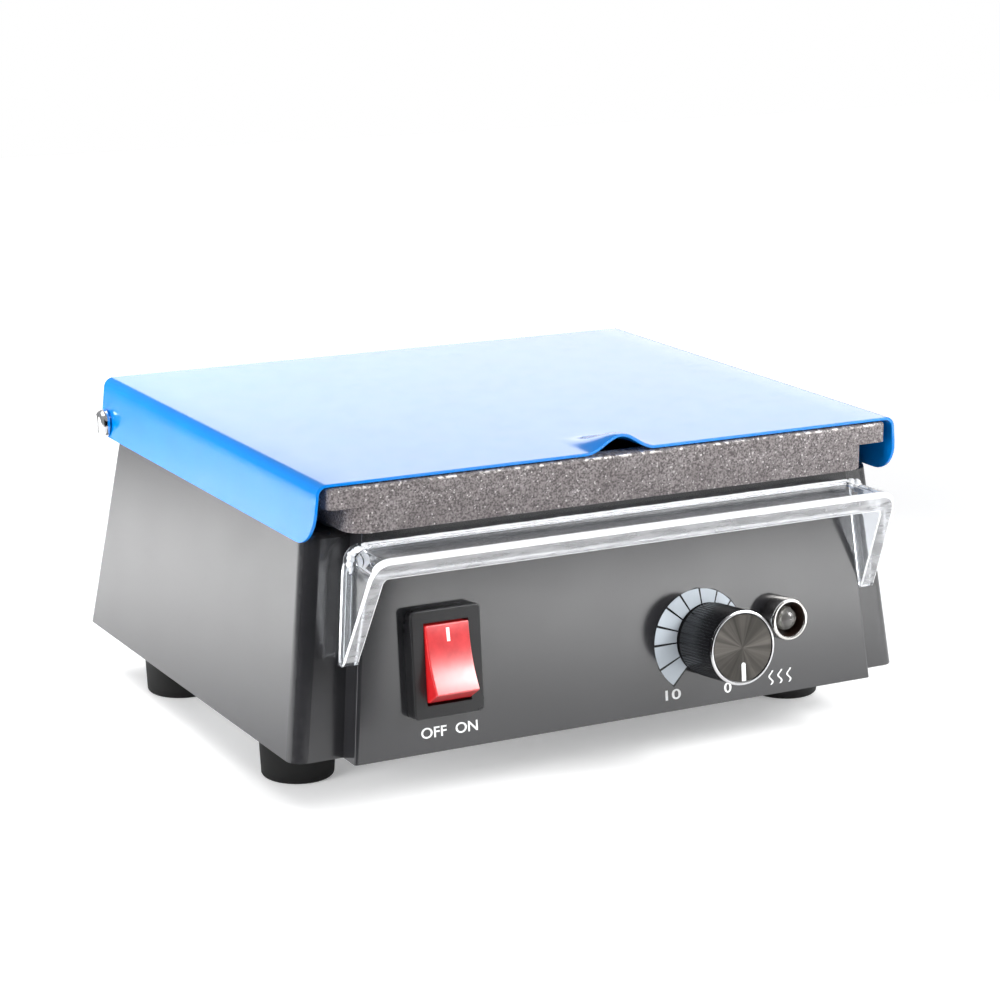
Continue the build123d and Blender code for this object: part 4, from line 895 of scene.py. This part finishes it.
# the front top edge is polished well round, the rear top edge stays sharp, the rest is eased
rounding = work.edges.layers.float.new("bevel_weight_edge")
for edge in work.edges:
    if edge.calc_face_angle(0) < math.radians(28):
        continue
    ends = [vert.co for vert in edge.verts]
    if all(end.z < 0.1 and end.y > top_s - 0.9 for end in ends):
        continue
    along_front = all(end.y > corner_s - 0.1 and on_cut(end) for end in ends)
    edge[rounding] = 1.0 if along_front else 0.2
guard = finish("guard", work, panel_place, [clear, cut_face, cement_and_edge_highlight], "heater",
               ["splash_guard"], sharp=25)
part = guard.modifiers.new("rounded edges", "BEVEL")
part.width = 1.3 * MM
part.use_clamp_overlap = False
part.segments = 4
part.limit_method = "WEIGHT"
part.harden_normals = True
# the bevelled edges take the near-opaque white finish, a painted highlight along them
part.material = 2

# the cement that holds it: a bead along its rear edge and squeezed-out crumbs at both corners
dice = random.Random(5)
bead_s, bead_out, bead_fat, bead_swell = top_s + 0.15, 0.12, 0.24, 0.05
bead_steps, bead_sides = 60, 8
work = bmesh.new()
bead = []
for step in range(bead_steps + 1):
    x = edge_x * (step / bead_steps * 2 - 1)
    fat = bead_fat + bead_swell * math.sin(step * 1.7) * math.sin(step * 0.9)
    ring = []
    for side in range(bead_sides):
        turn = math.tau * side / bead_sides
        ring.append((x, bead_s + fat * math.cos(turn), bead_out + fat * math.sin(turn)))
    bead.append(ring)
loft(work, bead)
crumb_round, crumbs_at_corner = outer_round - 0.2, 26
for side in (-1, 1):
    for step in range(crumbs_at_corner):
        turn = math.radians(-15 + 105 * step / (crumbs_at_corner - 1))
        x = panel_half(top_s) + gap + thick - outer_round + crumb_round * math.cos(turn)
        s = top_s - outer_round + crumb_round * math.sin(turn)
        size = dice.uniform(0.45, 0.85)
        x, s = x + dice.uniform(-0.5, 0.1), s + dice.uniform(-0.5, 0.2)
        spot = (side * x, s, dice.uniform(0.1, 1.6))
        lump = bmesh.ops.create_icosphere(
            work, subdivisions=2, radius=size, matrix=Matrix.Translation(spot)
        )
        for vert in lump["verts"]:
            away = vert.co - Vector(spot)
            vert.co = Vector(spot) + away * dice.uniform(0.75, 1.2)
bmesh.ops.recalc_face_normals(work, faces=work.faces)
finish("guard_cement", work, panel_place, [cement_and_edge_highlight], "heater", sharp=50)


# ---- lid ----
# One folded steel sheet, 0.6 mm thick, with two side flanges and a finger lift pressed
# up at the middle of its front edge, in glossy blue powder coat.
blue, nodes, links, surface = shader("blue powder coat")
cloud = textured(nodes, links, 90, 4.0)
factor = spread(nodes, links, cloud)
deep_blue, pale_blue = (0.0, 0.195, 0.66), (0.0, 0.213, 0.71)
links.new(blended(nodes, links, factor, deep_blue, pale_blue), surface.inputs["Base Color"])
peel = textured(nodes, links, 750, 2.0)
smear = textured(nodes, links, 300, 4.0)
links.new(spread(nodes, links, smear, low=0.12, high=0.18), surface.inputs["Roughness"])
surface.inputs["IOR"].default_value = 1.4
embossed(nodes, links, surface, peel, 0.004, 0.5)

sheet_thick, half_width, half_depth = 0.6, 65.35, 54.4
top_z, bottom_z, splay, bend = 65.4, 53.2, 0.0985, 2.2
front_corner, rear_corner = 7.0, 2.6
lift_half, lift_high, lift_long, lift_zone = 7.8, 3.1, 14.0, 9.0


def lid_section(y):
    """The outer line of the sheet across the lid at a depth: flange, bend, plate, bend, flange."""
    low = bottom_z
    ahead, behind = y + half_depth, half_depth - y
    if ahead < front_corner:
        low += front_corner - math.sqrt(front_corner**2 - (front_corner - ahead) ** 2)
    if behind < rear_corner:
        low += rear_corner - math.sqrt(rear_corner**2 - (rear_corner - behind) ** 2)
    lean = math.atan(splay)
    sweep = math.pi / 2 - lean
    tangent = bend * math.tan(sweep / 2)
    centre_x, centre_z = half_width - tangent, top_z - bend
    bend_low = centre_z + bend * math.sin(lean)
    bend_x = centre_x + bend * math.cos(lean)
    side = []
    for step in range(7):
        z = low + (bend_low - low) * step / 6
        side.append((bend_x + (bend_low - z) * splay, z))
    for step in range(1, 9):
        turn = lean + sweep * step / 8
        side.append((centre_x + bend * math.cos(turn), centre_z + bend * math.sin(turn)))
    for step in range(1, 9):
        side.append((centre_x * (1 - step / 8) + lift_zone * step / 8, top_z))
    fade = 0.0
    if ahead < lift_long:
        fade = math.cos(math.pi / 2 * ahead / lift_long) ** 2
    middle = []
    for step in range(1, 32):
        x = lift_zone - 2 * lift_zone * step / 32
        across = math.cos(math.pi * x / lift_half / 2) ** 2 if abs(x) < lift_half else 0
        middle.append((x, top_z + lift_high * fade * across))
    other_side = [(-x, z) for x, z in side[::-1]]
    return [(x, y, z) for x, z in side + middle + other_side]


front_y, plain = -half_depth, 2 * half_depth - lift_long - rear_corner
depths = [front_y + front_corner * (1 - math.cos(math.radians(90 * step / 8))) for step in range(9)]
depths += [front_y + front_corner + (lift_long - front_corner) * step / 10 for step in range(1, 11)]
depths += [front_y + lift_long + plain * step / 12 for step in range(1, 13)]
depths += [half_depth - rear_corner * math.cos(math.radians(90 * step / 6)) for step in range(1, 7)]
work = bmesh.new()
loft(work, [lid_section(y) for y in depths], closed=False, capped=False)
sealed(work)
if max(work.faces, key=lambda face: face.calc_center_median().z).normal.z < 0:
    bmesh.ops.reverse_faces(work, faces=work.faces)
in_frame = Matrix.Translation((0, middle_y * MM, 0)) @ Matrix.Scale(MM, 4)
lid = finish("lid_sheet", work, in_frame, [blue], "lid", ["lid"], sharp=50)
part = lid.modifiers.new("sheet", "SOLIDIFY")
part.thickness = sheet_thick * MM
part.offset = -1.0
part.use_even_offset = True
bevelled(lid, 0.16, 2, 50)


# ---- lid pivots ----
# Two domed, zinc-plated shoulder screws in the tank's lugs, on nylon spacers.
pivot_steel = plated("pivot steel", (0.82, 0.82, 0.83), 0.16)
dress(["lid_pivot_screws"], pivot_steel)
